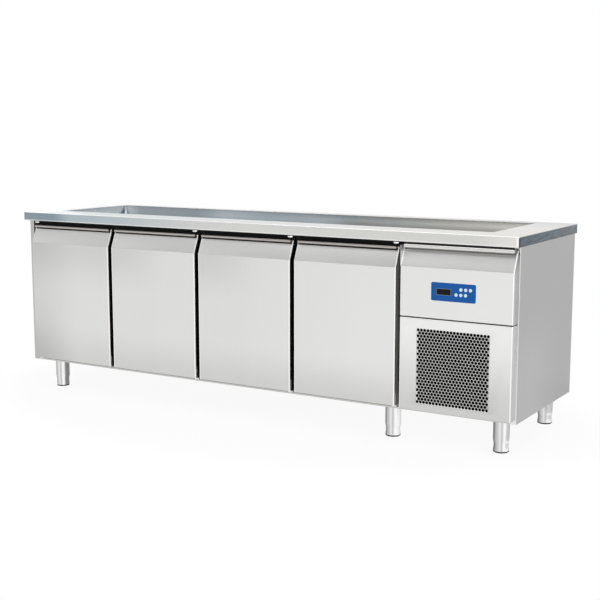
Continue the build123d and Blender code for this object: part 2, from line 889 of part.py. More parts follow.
# Service bay front
def make_control_panel():
    """Slanted panel with the same grip, a cheek at its left end and the controller's cut-out."""
    size = (service_width, control_low, lip_top, service_depth)
    panel = rounded_front(*size, True) - folded_front(*size, sheet, True)
    half = service_width / 2
    panel -= slab(-half, half, y_face, y_front, slant_top, lip_top)
    inner = half - sheet
    skin_back = y_face + slant_recess * (channel_floor - door_bend) / slant_height + door_sheet
    upstand = y_face + upstand_depth
    path = [(skin_back, channel_floor), (upstand, channel_floor), (upstand, lip_top)]
    path += [(y_front, lip_top)]
    panel += along_x(strip(path, sheet, Side.RIGHT), -inner, inner)
    panel += grip_lip(-half + lip_inset, half - lip_inset)
    panel += slab(-half, -half + sheet, y_face, y_front, door_bend, lip_top)
    window = Pos(plate_shift, plate_z) * Rectangle(case_width, case_height)
    panel -= along_y(window, y_face, y_face + sheet)
    return Pos(service_mid, 0, 0) * panel


def hole_places():
    """Centres of the staggered holes of the grille."""
    row_pitch = hole_pitch * math.sqrt(3) / 2
    columns = int((service_width - 2 * grille_margin) // hole_pitch)
    rows = int((grille_high - grille_low - grille_margin) // row_pitch)
    middle = (grille_low + grille_high) / 2
    places = []
    for row in range(rows + 1):
        z = middle + (row - rows / 2) * row_pitch
        count = columns + 1 - row % 2
        for column in range(count):
            places.append((plate_shift + (column - (count - 1) / 2) * hole_pitch, z))
    return places


def make_grille_panel():
    """Folded panel with a staggered field of holes."""
    size = (service_width, grille_low, grille_high, service_depth)
    panel = rounded_front(*size, False) - folded_front(*size, sheet, False)
    holes = [Pos(x, z) * RegularPolygon(hole_radius, 6) for x, z in hole_places()]
    panel -= along_y(Sketch() + holes, y_face, y_face + sheet)
    return Pos(service_mid, 0, 0) * panel


# Controller
def button_places():
    """Centres of the keys: three above, three below and one step to the left."""
    upper = plate_z + button_rise
    first = plate_x + button_first
    places = [(first + (i + 1) * button_pitch, upper) for i in range(3)]
    return places + [(first + i * button_pitch, upper - button_row) for i in range(3)]


def make_controller():
    """Front plate with a case behind it, pockets for the keys and a recess for the display."""
    place = Pos(plate_x, plate_z)
    body = along_y(place * RectangleRounded(plate_width, plate_height, plate_radius), plate_face, y_face)
    case = Rectangle(case_width - 2 * case_clearance, case_height - 2 * case_clearance)
    body += along_y(place * case, y_face, y_face + case_depth)
    pocket = RegularPolygon(button_radius + button_clearance, button_sides, major_radius=False)
    pockets = Sketch() + [Pos(x, z) * pocket for x, z in button_places()]
    body -= along_y(pockets, plate_face, plate_face + button_depth + 2 * button_travel)
    window = Pos(plate_x + display_shift, plate_z) * Rectangle(display_width, display_height)
    return body - along_y(window, plate_face, plate_face + display_recess)


def make_display():
    """Display window lying in the recess of the plate."""
    gap = 2 * display_clearance
    window = Rectangle(display_width - gap, display_height - gap)
    place = Pos(plate_x + display_shift, plate_z)
    return along_y(place * window, plate_face + display_sink, plate_face + display_recess)


def make_button(index):
    """Round key with a chamfered cap, free in its pocket."""
    x, z = button_places()[index]
    cap = plate_face - button_proud
    key = along_y(RegularPolygon(button_radius, button_sides), cap, plate_face + button_depth)
    key = chamfer(key.faces().sort_by(Axis.Y)[0].edges(), button_chamfer)
    return Pos(x, 0, z) * key


# Legs and feet
def leg_places():
    """Plan positions of the legs, front row first."""
    columns = [-x_side + leg_left, x_doors_end - leg_middle, x_side - leg_right]
    return [(x, y) for y in (y_front + leg_front, y_back - leg_back) for x in columns]


def make_leg_tubes():
    """Leg tubes with a tapered lower end and a bore for the stem of the foot."""
    shoulder = foot_height + leg_taper_height
    roof = foot_height + stem_length + stem_room
    leg = prism(leg_sides, leg_radius, shoulder, z_base)
    leg += mirror(
        frustum(leg_sides, leg_radius, leg_end_radius, shoulder, shoulder + leg_taper_height),
        Plane.XY.offset(shoulder),
    )
    leg -= prism(6, stem_radius + stem_clearance, foot_height, roof)
    return group([Pos(x, y, 0) * leg for x, y in leg_places()])


def make_foot(index):
    """Adjustable foot: eight-sided flared base, neck and stem."""
    top = foot_height - foot_gap
    foot = prism(8, foot_rim_radius, 0, foot_rim_height)
    foot += frustum(8, foot_base_radius, foot_waist_radius, foot_rim_height, foot_waist_height)
    foot += prism(leg_sides, foot_neck_radius, foot_waist_height, top)
    foot += prism(6, stem_radius, top, foot_height + stem_length)
    x, y = leg_places()[index]
    return Pos(x, y, 0) * foot


def make_cable_gland():
    """Gland of the mains inlet on the back of the service bay."""
    gland = prism(6, gland_radius, 0, gland_flange)
    gland += frustum(12, gland_radius - drain_wall, 2 * gland_bore, gland_flange, gland_length)
    gland -= prism(8, gland_bore, 0, gland_length)
    return Pos(x_side - gland_inset, y_back, z_opening) * Rot(X=-90) * gland


# Assembly
pieces = {
    "worktop": make_worktop(),
    "well_tub": make_well_tub(),
    "well_drain": make_well_drain(),
    "well_coil": make_well_coil(),
    "well_insulation": make_well_insulation(),
    "side_panel_left": make_side_panel(),
    "side_panel_right": mirror(make_side_panel(), Plane.YZ),
    "back_panel": make_back_panel(),
    "base_panel": make_base_panel(),
    "top_rail": make_top_rail(),
    "bottom_rail": make_bottom_rail(),
    "front_posts": make_front_posts(),
    "wall_insulation": make_wall_insulation(),
    "liner": make_liner(),
    "partition_panel": make_partition_panel(),
    "shelf_supports": make_shelf_supports(),
    "wire_shelves": make_wire_shelves(),
    "evaporator_housing": make_evaporator_housing(),
    "evaporator_coil": make_evaporator_coil(),
    "evaporator_motor": make_evaporator_motor(),
    "evaporator_fan": make_evaporator_fan(),
    "unit_tray": make_unit_tray(),
    "condenser_coil": make_condenser_coil(),
    "condenser_shroud": make_condenser_shroud(),
    "condenser_motor": make_condenser_motor(),
    "condenser_fan": make_condenser_fan(),
    "compressor": make_compressor(),
    "refrigerant_pipes": make_refrigerant_pipes(),
    "hinge_brackets": make_hinge_brackets(),
    "control_panel": make_control_panel(),
    "grille_panel": make_grille_panel(),
    "controller": make_controller(),
    "controller_display": make_display(),
    "leg_tubes": make_leg_tubes(),
    "cable_gland": make_cable_gland(),
}
door_skin_shape = make_door_skin()
door_core_shape = make_door_core()
door_gasket_shape = make_door_gasket()
for number in range(door_count):
    pieces[f"door_{number + 1}_skin"] = place_door(door_skin_shape, number)
    pieces[f"door_{number + 1}_core"] = place_door(door_core_shape, number)
    pieces[f"door_{number + 1}_gasket"] = place_door(door_gasket_shape, number)
for number in range(6):
    pieces[f"button_{number + 1}"] = make_button(number)
    pieces[f"foot_{number + 1}"] = make_foot(number)

os.makedirs("parts", exist_ok=True)
for name, shape in pieces.items():
    export_step(shape, f"parts/{name}.step")
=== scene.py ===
"""Looks of a refrigerated buffet counter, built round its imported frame."""

import logging
import math
from collections.abc import Callable
from dataclasses import dataclass
from enum import Enum

import bmesh
import bpy
import numpy as np
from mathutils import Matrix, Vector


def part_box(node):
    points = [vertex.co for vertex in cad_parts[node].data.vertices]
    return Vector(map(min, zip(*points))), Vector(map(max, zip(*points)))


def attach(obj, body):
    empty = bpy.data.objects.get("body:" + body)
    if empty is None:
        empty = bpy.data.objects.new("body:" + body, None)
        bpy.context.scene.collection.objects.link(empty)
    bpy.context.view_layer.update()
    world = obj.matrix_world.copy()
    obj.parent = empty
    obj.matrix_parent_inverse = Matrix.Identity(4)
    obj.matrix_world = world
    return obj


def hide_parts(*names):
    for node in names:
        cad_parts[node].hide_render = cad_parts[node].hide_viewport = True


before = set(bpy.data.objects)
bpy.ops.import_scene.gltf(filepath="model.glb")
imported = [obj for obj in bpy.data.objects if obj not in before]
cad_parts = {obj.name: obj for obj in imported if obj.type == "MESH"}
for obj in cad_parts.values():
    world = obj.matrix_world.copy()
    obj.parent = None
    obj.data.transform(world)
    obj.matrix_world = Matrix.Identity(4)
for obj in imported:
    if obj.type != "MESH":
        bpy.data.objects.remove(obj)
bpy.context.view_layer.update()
log = logging.getLogger("counter")
made: dict[str, bpy.types.Material] = {}

Pair = tuple[float, float]
Triple = tuple[float, float, float]
Colour = Triple
Bands = tuple[tuple[float, Colour], ...]
Steps = tuple[tuple[float, ...], ...]
Value = "Sock | float | tuple[float, ...]"

TOUCH = 1e-6
FRONT = [0, 2]
FORWARD = (0.0, -1.0, 0.0)
UP = (0.0, 0.0, 1.0)


def tone(*levels: int) -> Colour:
    """Linear colour of three 8-bit screen levels, or of one level for a grey."""
    share = np.array(levels if len(levels) == 3 else levels * 3) / 255
    return tuple(np.where(share <= 0.04045, share / 12.92, ((share + 0.055) / 1.055) ** 2.4).tolist())


def bands(*rows: tuple[float, ...]) -> Bands:
    """Places with the colour there, from rows of a place and its 8-bit levels."""
    return tuple((row[0], tone(*row[1:])) for row in rows)


def limits(node: str) -> tuple[np.ndarray, np.ndarray]:
    """Lowest and highest corner of a CAD node, in metres."""
    low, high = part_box(node)
    return np.array(low), np.array(high)


WHITE: Colour = (1.0, 1.0, 1.0)
# Painted highlight: near-white laid on bright edges and hems.
PAINTED_HIGHLIGHT: Colour = (0.97, 0.97, 0.97)
# Painted shade: near-black mixed in where shade falls.
PAINTED_SHADE: Colour = (0.1, 0.1, 0.1)


class Axis(Enum):
    """Direction that a section is carried along; the value lists the section's two axes first."""

    X = (1, 2, 0)
    Y = (0, 2, 1)
    Z = (0, 1, 2)


class Grain(Enum):
    """Direction of the brushing; the value scales the noise along x, y and z."""

    LENGTHWISE = (2.0, 230.0, 230.0)
    UPRIGHT = (230.0, 230.0, 2.0)
    CROSSWISE = (230.0, 2.0, 230.0)


def around(angle: np.ndarray) -> np.ndarray:
    """Points on a circle of radius 1 at angles t: (cos t, sin t)."""
    return np.stack((np.cos(angle), np.sin(angle)), axis=-1)


def circle(sides: int) -> np.ndarray:
    """Points of a full circle of radius 1."""
    return around(np.linspace(0, 2 * np.pi, sides, endpoint=False))


def arc(centre: Pair, radius: float, start: float, end: float, steps: int = 6) -> np.ndarray:
    """Points of a circular arc, with its angles in degrees."""
    return np.asarray(centre) + radius * around(np.radians(np.linspace(start, end, steps + 1)))


def raised(outline: np.ndarray, height: float | np.ndarray, axis: Axis) -> np.ndarray:
    """Flat points put at a height along an axis.

    Args:
        outline: Array that ends in the 2 values of a flat point.
        height: One height, or an array that fits the points.
        axis: Direction of the height.

    Returns:
        Array that ends in the 3 values of a point.
    """
    points = np.empty((*outline.shape[:-1], 3))
    points[..., axis.value[:2]] = outline
    points[..., axis.value[2]] = height
    return points


def rounded_rectangle(low: np.ndarray, high: np.ndarray, radius: float, steps: int = 6) -> np.ndarray:
    """Closed outline of a rectangle with quarter-circle corners.

    Each corner is its centre plus radius times (cos t, sin t) over a quarter turn.

    Args:
        low: Lowest corner, 2 values.
        high: Highest corner, 2 values.
        radius: Corner radius.
        steps: Steps per corner.

    Returns:
        Array of points by 2.
    """
    x0, y0 = low[0] + radius, low[1] + radius
    x1, y1 = high[0] - radius, high[1] - radius
    centres = np.array(((x1, y1), (x0, y1), (x0, y0), (x1, y0)))
    angle = np.arange(4)[:, None] * np.pi / 2 + np.linspace(0, np.pi / 2, steps + 1)
    return (centres[:, None, :] + radius * around(angle)).reshape(-1, 2)


def nested(low: np.ndarray, high: np.ndarray, radius: float, steps: Steps, axis: Axis,
           least: float = 0.0004, pull: float = 1.0) -> np.ndarray:
    """Outlines of a rounded rectangle, each pulled in by an inset and put at a height.

    Args:
        low: Lowest corner at inset 0, 2 values.
        high: Highest corner at inset 0, 2 values.
        radius: Corner radius at inset 0.
        steps: Inset and height of every outline.
        axis: Direction of the heights.
        least: Smallest corner radius.
        pull: Share of the inset that the corner radius loses.

    Returns:
        Array of outlines by points by 3.
    """
    return np.stack([
        raised(rounded_rectangle(low + inset, high - inset, max(radius - pull * inset, least)), height, axis)
        for inset, height in steps])


def spots(x: np.ndarray | float, y: np.ndarray | float, z: np.ndarray | float) -> np.ndarray:
    """Points by 3 from coordinates that are arrays or single numbers."""
    return np.stack(np.broadcast_arrays(x, y, z), axis=-1)


@dataclass
class Shell:
    """Points and faces of a surface, in metres.

    Faces are kept in blocks, one integer array per number of corners.
    """

    points: np.ndarray
    blocks: list[np.ndarray]

    def __add__(self, other: "Shell") -> "Shell":
        """Both surfaces in one shell."""
        blocks = self.blocks + [block + len(self.points) for block in other.blocks]
        return Shell(np.vstack((self.points, other.points)), blocks)

    @staticmethod
    def grid(points: np.ndarray, wrap: tuple[bool, bool] = (False, False),
             keep: np.ndarray | None = None) -> "Shell":
        """Quads between neighbours of a grid of points.

        Args:
            points: Array of rows by columns by 3.
            wrap: Whether the last row meets the first, and the last column the first.
            keep: Mask of the quads that stay, rows by columns.

        Returns:
            The surface.
        """
        rows, columns = points.shape[:2]
        index = np.arange(rows * columns).reshape(rows, columns)
        index = np.vstack((index, index[:1])) if wrap[0] else index
        index = np.hstack((index, index[:, :1])) if wrap[1] else index
        quads = np.stack((index[:-1, :-1], index[:-1, 1:], index[1:, 1:], index[1:, :-1]), axis=-1)
        quads = quads.reshape(-1, 4) if keep is None else quads[keep]
        return Shell(points.reshape(-1, 3), [quads])

    @staticmethod
    def loft(rings: np.ndarray, closed: bool = False, ends: bool = True) -> "Shell":
        """Closed outlines joined in order.

        Args:
            rings: Array of outlines by points by 3.
            closed: Whether the last outline meets the first.
            ends: Whether the first and last outline are filled.

        Returns:
            The surface.
        """
        shell = Shell.grid(rings, (closed, True))
        if ends and not closed:
            first = np.arange(rings.shape[1])[None]
            shell.blocks += [first[:, ::-1], first + rings.shape[1] * (len(rings) - 1)]
        return shell

    @staticmethod
    def sleeves(pairs: np.ndarray) -> "Shell":
        """Quads between the two closed outlines of every pair.

        Args:
            pairs: Array of pairs by 2 by points by 3.

        Returns:
            The surface.
        """
        index = np.arange(pairs.size // 3).reshape(pairs.shape[:3])
        ahead = np.roll(index, -1, axis=2)
        quads = np.stack((index[:, 0], ahead[:, 0], ahead[:, 1], index[:, 1]), axis=-1)
        return Shell(pairs.reshape(-1, 3), [quads.reshape(-1, 4)])

    @staticmethod
    def prism(section: Steps, low: float, high: float, axis: Axis) -> "Shell":
        """A flat section, as points by 2, carried straight from low to high along an axis."""
        section = np.asarray(section, float)
        return Shell.loft(raised(np.stack((section, section)), np.array(((low,), (high,))), axis))

    @staticmethod
    def box(low: Triple, high: Triple) -> "Shell":
        """A block between two corners."""
        section = [(low[0], low[1]), (high[0], low[1]), (high[0], high[1]), (low[0], high[1])]
        return Shell.prism(section, low[2], high[2], Axis.Z)

    @staticmethod
    def turned(profile: Steps, centre: np.ndarray, axis: Axis, sides: int = 48,
               closed: bool = False) -> "Shell":
        """A profile of (radius, height) turned round an axis: x = r cos t, y = r sin t.

        Args:
            profile: Array of points by 2.
            centre: Point on the axis at height 0.
            axis: Axis of rotation.
            sides: Steps of a full turn.
            closed: Whether the profile is a closed loop.

        Returns:
            The turned surface.
        """
        profile = np.asarray(profile, float)
        rings = raised(profile[:, None, :1] * circle(sides), profile[:, 1:], axis)
        return Shell.loft(rings + centre, closed)

    @staticmethod
    def rods(starts: np.ndarray, ends: np.ndarray, radius: float, axis: Axis, sides: int) -> "Shell":
        """Straight round rods: a circle carried from every start to its end.

        Args:
            starts: Array of rods by 3.
            ends: Array of rods by 3.
            radius: Radius of every rod.
            axis: Direction of all rods.
            sides: Sides of the circle.

        Returns:
            The rods as one shell.
        """
        ring = raised(radius * circle(sides), 0.0, axis)
        shell = Shell.sleeves(np.stack((starts, ends), axis=1)[:, :, None, :] + ring)
        index = np.arange(len(shell.points)).reshape(-1, 2, sides)
        shell.blocks.append(np.vstack((index[:, 0, ::-1], index[:, 1])))
        return shell


def binary(operation: str, swapped: bool = False) -> Callable:
    """A method for sockets that puts two values through a Math node.

    Args:
        operation: What the node does.
        swapped: Whether the other value comes first.

    Returns:
        The method.
    """
    def method(self: "Sock", other: Value) -> "Sock":
        """One Math node on both values."""
        values = (other, self) if swapped else (self, other)
        return self.paint.node("ShaderNodeMath", {"operation": operation}, dict(enumerate(values)))

    return method


class Sock:
    """A node socket that takes part in Python expressions, also with numpy's numbers."""

    __array_ufunc__ = None
    __add__, __radd__ = binary("ADD"), binary("ADD", True)
    __sub__, __rsub__ = binary("SUBTRACT"), binary("SUBTRACT", True)
    __mul__, __rmul__ = binary("MULTIPLY"), binary("MULTIPLY", True)
    __pow__ = binary("POWER")
    larger = binary("MAXIMUM")
    smaller = binary("MINIMUM")
    modulo = binary("FLOORED_MODULO")

    def __init__(self, paint: "Paint", socket: bpy.types.NodeSocket) -> None:
        """Keeps the socket and the tree that it is in."""
        self.paint = paint
        self.socket = socket

    def __abs__(self) -> "Sock":
        """Size without sign."""
        return self.paint.node("ShaderNodeMath", {"operation": "ABSOLUTE"}, {0: self})

    def rise(self, low: float, high: float) -> "Sock":
        """Smooth step from 0 at low to 1 at high."""
        values = {"Value": self, "From Min": low, "From Max": high}
        return self.paint.node("ShaderNodeMapRange", {"interpolation_type": "SMOOTHSTEP"}, values)

    def fall(self, low: float, high: float) -> "Sock":
        """Smooth step from 1 at low to 0 at high."""
        return 1 - self.rise(low, high)

    def swing(self, size: float) -> "Sock":
        """A noise of 0 to 1 moved to lie round 0 and scaled."""
        return (self - 0.5) * size


class Paint:
    """The node tree of one material or world.

    Attributes:
        owner: The material or world.
        surface: The material's Principled shader.
        streak: Fine noise of a brushed sheet.
        cloud: Broad noise of a brushed sheet.
    """

    surface: Sock
    streak: Sock
    cloud: Sock

    def __init__(self, name: str, world: bool = False) -> None:
        """Starts a material with a Principled shader, or a world with nothing to show yet.

        Args:
            name: Name of the material or world.
            world: Whether it is a world.
        """
        self.owner = (bpy.data.worlds if world else bpy.data.materials).new(name)
        self.owner.use_nodes = True
        self.tree = self.owner.node_tree
        self.tree.nodes.clear()
        self.output = self.tree.nodes.new("ShaderNodeOutputWorld" if world else "ShaderNodeOutputMaterial")
        if not world:
            self.surface = self.node("ShaderNodeBsdfPrincipled")
            self.show(self.surface)

    def show(self, shader: Sock) -> None:
        """Ends the tree in a shader."""
        self.feed(self.output.inputs[0], shader)

    def node(self, kind: str, settings: dict | None = None, inputs: dict | None = None,
             output: int | str = 0) -> Sock:
        """Adds one node.

        Args:
            kind: Type of the node.
            settings: Properties of the node; stops lists a ramp's positions and colours.
            inputs: Values or links, by socket name or number.
            output: The socket that is returned.

        Returns:
            The chosen output.
        """
        fresh = self.tree.nodes.new(kind)
        settings = dict(settings or {})
        for number, (position, colour) in enumerate(settings.pop("stops", [])):
            stops = fresh.color_ramp.elements
            stop = stops[number] if number < len(stops) else stops.new(position)
            stop.position = position
            stop.color = (*colour, 1.0)
        for key, value in settings.items():
            setattr(fresh, key, value)
        for key, value in (inputs or {}).items():
            self.feed(fresh.inputs[key], value)
        return Sock(self, fresh.outputs[output])

    def feed(self, socket: bpy.types.NodeSocket, value: Value) -> None:
        """Links a socket to another, or sets its own value.

        Args:
            socket: The input.
            value: A socket, a number, a vector or a colour.
        """
        if isinstance(value, Sock):
            self.tree.links.new(value.socket, socket)
        elif socket.type == "RGBA" and len(value) == 3:
            socket.default_value = (*value, 1.0)
        else:
            socket.default_value = value

    def set(self, **sockets: Value) -> None:
        """Feeds the Principled shader.

        Args:
            sockets: Values or links, by socket name in lower case with underscores.
        """
        inputs = self.surface.socket.node.inputs
        names = {socket.name.lower().replace(" ", "_"): socket for socket in inputs}
        for key, value in sockets.items():
            self.feed(names[key], value)

    def outputs(self, kind: str, names: tuple[int | str, ...], inputs: dict | None = None) -> list[Sock]:
        """Several outputs of one new node."""
        node = self.node(kind, inputs=inputs).socket.node
        return [Sock(self, node.outputs[name]) for name in names]

    def place(self) -> Sock:
        """Object coordinates."""
        return self.node("ShaderNodeTexCoord", output="Object")

    def parts(self) -> list[Sock]:
        """The x, y and z of the object coordinates."""
        return self.outputs("ShaderNodeSeparateXYZ", (0, 1, 2), {0: self.place()})

    def rays(self) -> list[Sock]:
        """Whether a ray comes from the eye, from a reflection or through glass, each 0 or 1."""
        return self.outputs("ShaderNodeLightPath", ("Is Camera Ray", "Is Glossy Ray", "Is Transmission Ray"))

    def noise(self, scale: Triple, detail: float = 3.0, roughness: float = 0.55) -> Sock:
        """Noise stretched by a scale along each axis.

        Args:
            scale: Spots per metre along x, y and z.
            detail: Number of finer layers.
            roughness: Strength of the finer layers.

        Returns:
            The noise, from 0 to 1.
        """
        mapped = self.node("ShaderNodeMapping", inputs={"Vector": self.place(), "Scale": scale})
        values = {"Vector": mapped, "Scale": 1.0, "Detail": detail, "Roughness": roughness}
        return self.node("ShaderNodeTexNoise", inputs=values)

    def brush(self, grain: Grain) -> None:
        """Makes the noises of a brushed sheet."""
        self.streak = self.noise(grain.value, 4.0, 0.65)
        self.cloud = self.noise((3.0,) * 3, 2.0)

    def mix(self, share: Value, first: Value, second: Value) -> Sock:
        """Colour between two colours."""
        return self.node("ShaderNodeMix", {"data_type": "RGBA"}, {0: share, 6: first, 7: second}, 2)

    def ramp(self, place: Sock, rows: Bands) -> Sock:
        """Colour at a place, between the colours of a row of places.

        Args:
            place: Where along the row.
            rows: Places with the colour there, in rising order.

        Returns:
            The colour.
        """
        low, high = rows[0][0], rows[-1][0]
        stops = [((spot - low) / (high - low), colour) for spot, colour in rows]
        share = (place - low) * (1 / (high - low))
        return self.node("ShaderNodeValToRGB", {"stops": stops}, {0: share})

    def bump(self, height: Sock, distance: float) -> Sock:
        """Normal from a height in metres times distance."""
        return self.node("ShaderNodeBump", inputs={"Height": height, "Distance": distance, "Strength": 1.0})


@dataclass(frozen=True)
class Finish:
    """A finish with a fine mottling of colour, roughness and relief.

    Attributes:
        name: Name of the material.
        tint: Linear colour.
        rough: Mean roughness.
        metal: 1 for bare metal, 0 for paint, plastic and rubber.
        mottle: Share by which the colour varies.
        scale: Spots per metre.
        relief: Height of the relief in metres.
        gloss: Level of the mirror reflection of paint, plastic and rubber.
    """

    name: str
    tint: Colour
    rough: float = 0.5
    metal: float = 0.0
    mottle: float = 0.06
    scale: float = 240.0
    relief: float = 0.00004
    gloss: float = 0.5

    def material(self) -> bpy.types.Material:
        """The material, made on first use.

        Returns:
            The material.
        """
        if self.name not in made:
            paint = Paint(self.name)
            paint.set(**self.sockets(paint))
            made[self.name] = paint.owner
        return made[self.name]

    def shade(self, share: float) -> Colour:
        """The tint made lighter or darker by a share."""
        return tuple(min(1.0, v * (1 + share)) for v in self.tint)

    def mottled(self, paint: Paint, share: Sock) -> Sock:
        """The tint, from darker to lighter by the mottle."""
        return paint.mix(share, self.shade(-self.mottle), self.shade(self.mottle))

    def sockets(self, paint: Paint) -> dict[str, Value]:
        """Fine spots laid over broad ones.

        Args:
            paint: Tree of the material.

        Returns:
            What feeds the Principled shader, by socket.
        """
        fine = paint.noise((self.scale,) * 3)
        broad = paint.noise((6.0,) * 3, 2.0)
        return {
            "base_color": self.mottled(paint, fine * 0.6 + broad * 0.4),
            "metallic": self.metal,
            "roughness": self.rough + broad.swing(0.12) + fine.swing(0.08),
            "normal": paint.bump(fine, self.relief),
            "specular_ior_level": self.gloss,
        }


@dataclass(frozen=True)
class Steel(Finish):
    """Brushed stainless steel: long fine streaks in one direction, and a broad cloudiness.

    In its kinds, places lie along x, depths along y and heights along z, and a width is a distance
    from an edge. Two of them are where a change begins and ends.
    """

    rough: float = 0.34
    metal: float = 1.0
    mottle: float = 0.035
    relief: float = 0.000012
    grain: Grain = Grain.UPRIGHT

    def colour(self, paint: Paint) -> Sock:
        """Colour of the sheet from its streaks and clouds."""
        return self.mottled(paint, paint.streak * 0.65 + paint.cloud * 0.35)

    def streaked(self, paint: Paint, colour: Sock, share: float = 0.4) -> Sock:
        """A colour with the lighter streaks of the brushing laid over it."""
        return paint.mix((paint.streak - 0.5).larger(0.0) * share, colour, self.tint)

    def sockets(self, paint: Paint) -> dict[str, Value]:
        """Streaks in colour, roughness and relief.

        Args:
            paint: Tree of the material.

        Returns:
            What feeds the Principled shader, by socket.
        """
        paint.brush(self.grain)
        return {
            "base_color": self.colour(paint),
            "metallic": self.metal,
            "roughness": self.rough + paint.streak.swing(0.16) + paint.cloud.swing(0.06),
            "normal": paint.bump(paint.streak, self.relief),
        }


@dataclass(frozen=True)
class TopSteel(Steel):
    """Steel of the worktop with painted reflections: pale on top, bluish along the left of the front, darker
    at the right end; painted highlights along its edges.
    """

    grain: Grain = Grain.LENGTHWISE
    # Painted reflections: colours that stand in for what the top, the front skirt and the right end reflect.
    top_front: Colour = tone(200, 205, 209)
    top_back: Colour = tone(252)
    top_corner: Colour = tone(196, 197, 200)
    front: Colour = tone(212, 212, 209)
    front_left: Colour = tone(139, 154, 161)
    front_near: Colour = tone(176, 187, 194)
    front_right: Colour = tone(228, 226, 222)
    end: Colour = tone(110, 122, 132)
    # Painted shade along the front fold of the right end.
    end_painted_shade: Colour = (0.03, 0.03, 0.03)
    end_range: Pair = (0.62, 1.42)
    end_grain: Triple = (1.0, 16.0, 110.0)
    end_gloom: float = 0.7
    # Painted highlight along the hem of the skirt.
    hem_highlight: float = 0.45
    fold_width: Pair = (0.001, 0.004)
    edge_drop: Pair = (0.002, 0.005)
    edge_width: Pair = (0.003, 0.007)
    corner_width: Pair = (0.009, 0.012)
    end_fold_width: Pair = (0.010, 0.014)
    back_depths: Pair = (-0.25, 0.3)
    left_places: Pair = (-1.2, -1.1)
    corner_depths: Pair = (0.0, 0.34)
    corner_places: Pair = (0.5, 1.2)
    plain_places: Pair = (-0.7, 0.9)
    near_places: Pair = (-1.08, -0.95)
    front_places: Pair = (-0.96, 0.0)
    right_place: float = 1.05

    def top(self, paint: Paint) -> Sock:
        """Colour of the flat top with painted reflections: darker at the front than at the back, with a
        painted highlight along the front edge.

        Args:
            paint: Tree of the material.

        Returns:
            The colour.
        """
        low, high = limits("worktop")
        x, y, z = paint.parts()
        # Painted highlight along the front edge.
        edge = (y - low[1]).fall(*self.edge_width) * (high[2] - z).fall(*self.edge_drop)
        # Painted reflections: pale at the back and the far left, darker at the front right.
        pale = y.rise(*self.back_depths).larger(x.fall(*self.left_places))
        far = paint.mix(pale, self.top_front, self.top_back)
        corner = x.rise(*self.corner_places) * y.rise(*self.corner_depths)
        near = paint.mix(corner, Steel.colour(self, paint), self.top_corner)
        return paint.mix(edge, paint.mix(x.rise(*self.plain_places), far, near), PAINTED_HIGHLIGHT)

    def colour(self, paint: Paint) -> Sock:
        """Colour of the top, its front skirt and its right end, all with painted reflections.

        Args:
            paint: Tree of the material.

        Returns:
            The colour.
        """
        low, high = limits("worktop")
        x, y, z = paint.parts()
        behind, beside = y - low[1], high[0] - x
        below = (high[2] - z).rise(*self.fold_width)
        skirt = below * behind.fall(*self.fold_width)
        side = below * beside.fall(*self.fold_width)
        # Painted reflections along the skirt: bluish at the left, pale grey in the middle, warm at the right.
        along = x + paint.cloud.swing(0.1)
        fade = paint.mix(along.rise(*self.near_places), self.front_left, self.front_near)
        fade = paint.mix(along.rise(*self.front_places), fade, self.front)
        fade = paint.mix(x.rise(self.right_place, high[0]), fade, self.front_right)
        sheet = paint.mix(skirt, self.top(paint), fade)
        # Painted highlight along the hem and the skirt's right corner.
        hem = (z - low[2]).fall(*self.edge_width) * self.hem_highlight
        sheet = paint.mix(skirt * hem.larger(beside.fall(*self.corner_width)), sheet, PAINTED_HIGHLIGHT)
        # Painted reflection on the right end, dark blue-grey and broken up by the drawn grain, with painted
        # shade along its front fold.
        drawn = paint.noise(self.end_grain, 4.0, 0.6).rise(0.25, 0.75)
        brushed = paint.mix(drawn, *(tuple(share * v for v in self.end) for share in self.end_range))
        brushed = paint.mix(behind.fall(*self.end_fold_width) * self.end_gloom, brushed, self.end_painted_shade)
        return paint.mix(side, sheet, brushed)


@dataclass(frozen=True)
class WellSteel(Steel):
    """Steel of the tub: painted reflections in bluish bands along its length, warm at the right, and painted
    shade near the floor there.

    Attributes:
        rows: Places along the tub with the painted reflection there, from left to right.
        deep: Painted shade near the floor.
        sway: How far a slow noise moves the bands.
        sway_grain: Scale of that noise along x, y and z.
    """

    grain: Grain = Grain.LENGTHWISE
    deep: Colour = (0.12, 0.12, 0.115)
    floor_shade_share: float = 0.8
    floor_shade_heights: Pair = (0.80, 0.842)
    floor_shade_places: Pair = (0.0, 0.25)
    sway: float = 0.12
    sway_grain: Triple = (7.0, 0.6, 0.6)
    rows: Bands = bands(
        (-1.168, 168, 176, 181), (-1.120, 170, 177, 181), (-1.060, 144, 152, 157), (-0.700, 137, 147, 153),
        (-0.520, 164, 172, 178), (-0.250, 147, 156, 161), (0.000, 142, 150, 155), (0.200, 131, 138, 140),
        (0.420, 140, 143, 142), (0.620, 156, 156, 152), (0.820, 170, 169, 164), (1.090, 188, 187, 181))

    def colour(self, paint: Paint) -> Sock:
        """Colour along the tub: painted reflections in soft upright bands, and painted shade near the floor.

        Args:
            paint: Tree of the material.

        Returns:
            The colour.
        """
        x, _, z = paint.parts()
        along = x + paint.noise(self.sway_grain).swing(self.sway)
        # Painted shade near the floor at the right.
        dim = z.fall(*self.floor_shade_heights) * x.rise(*self.floor_shade_places) * self.floor_shade_share
        return self.streaked(paint, paint.mix(dim, paint.ramp(along, self.rows), self.deep))


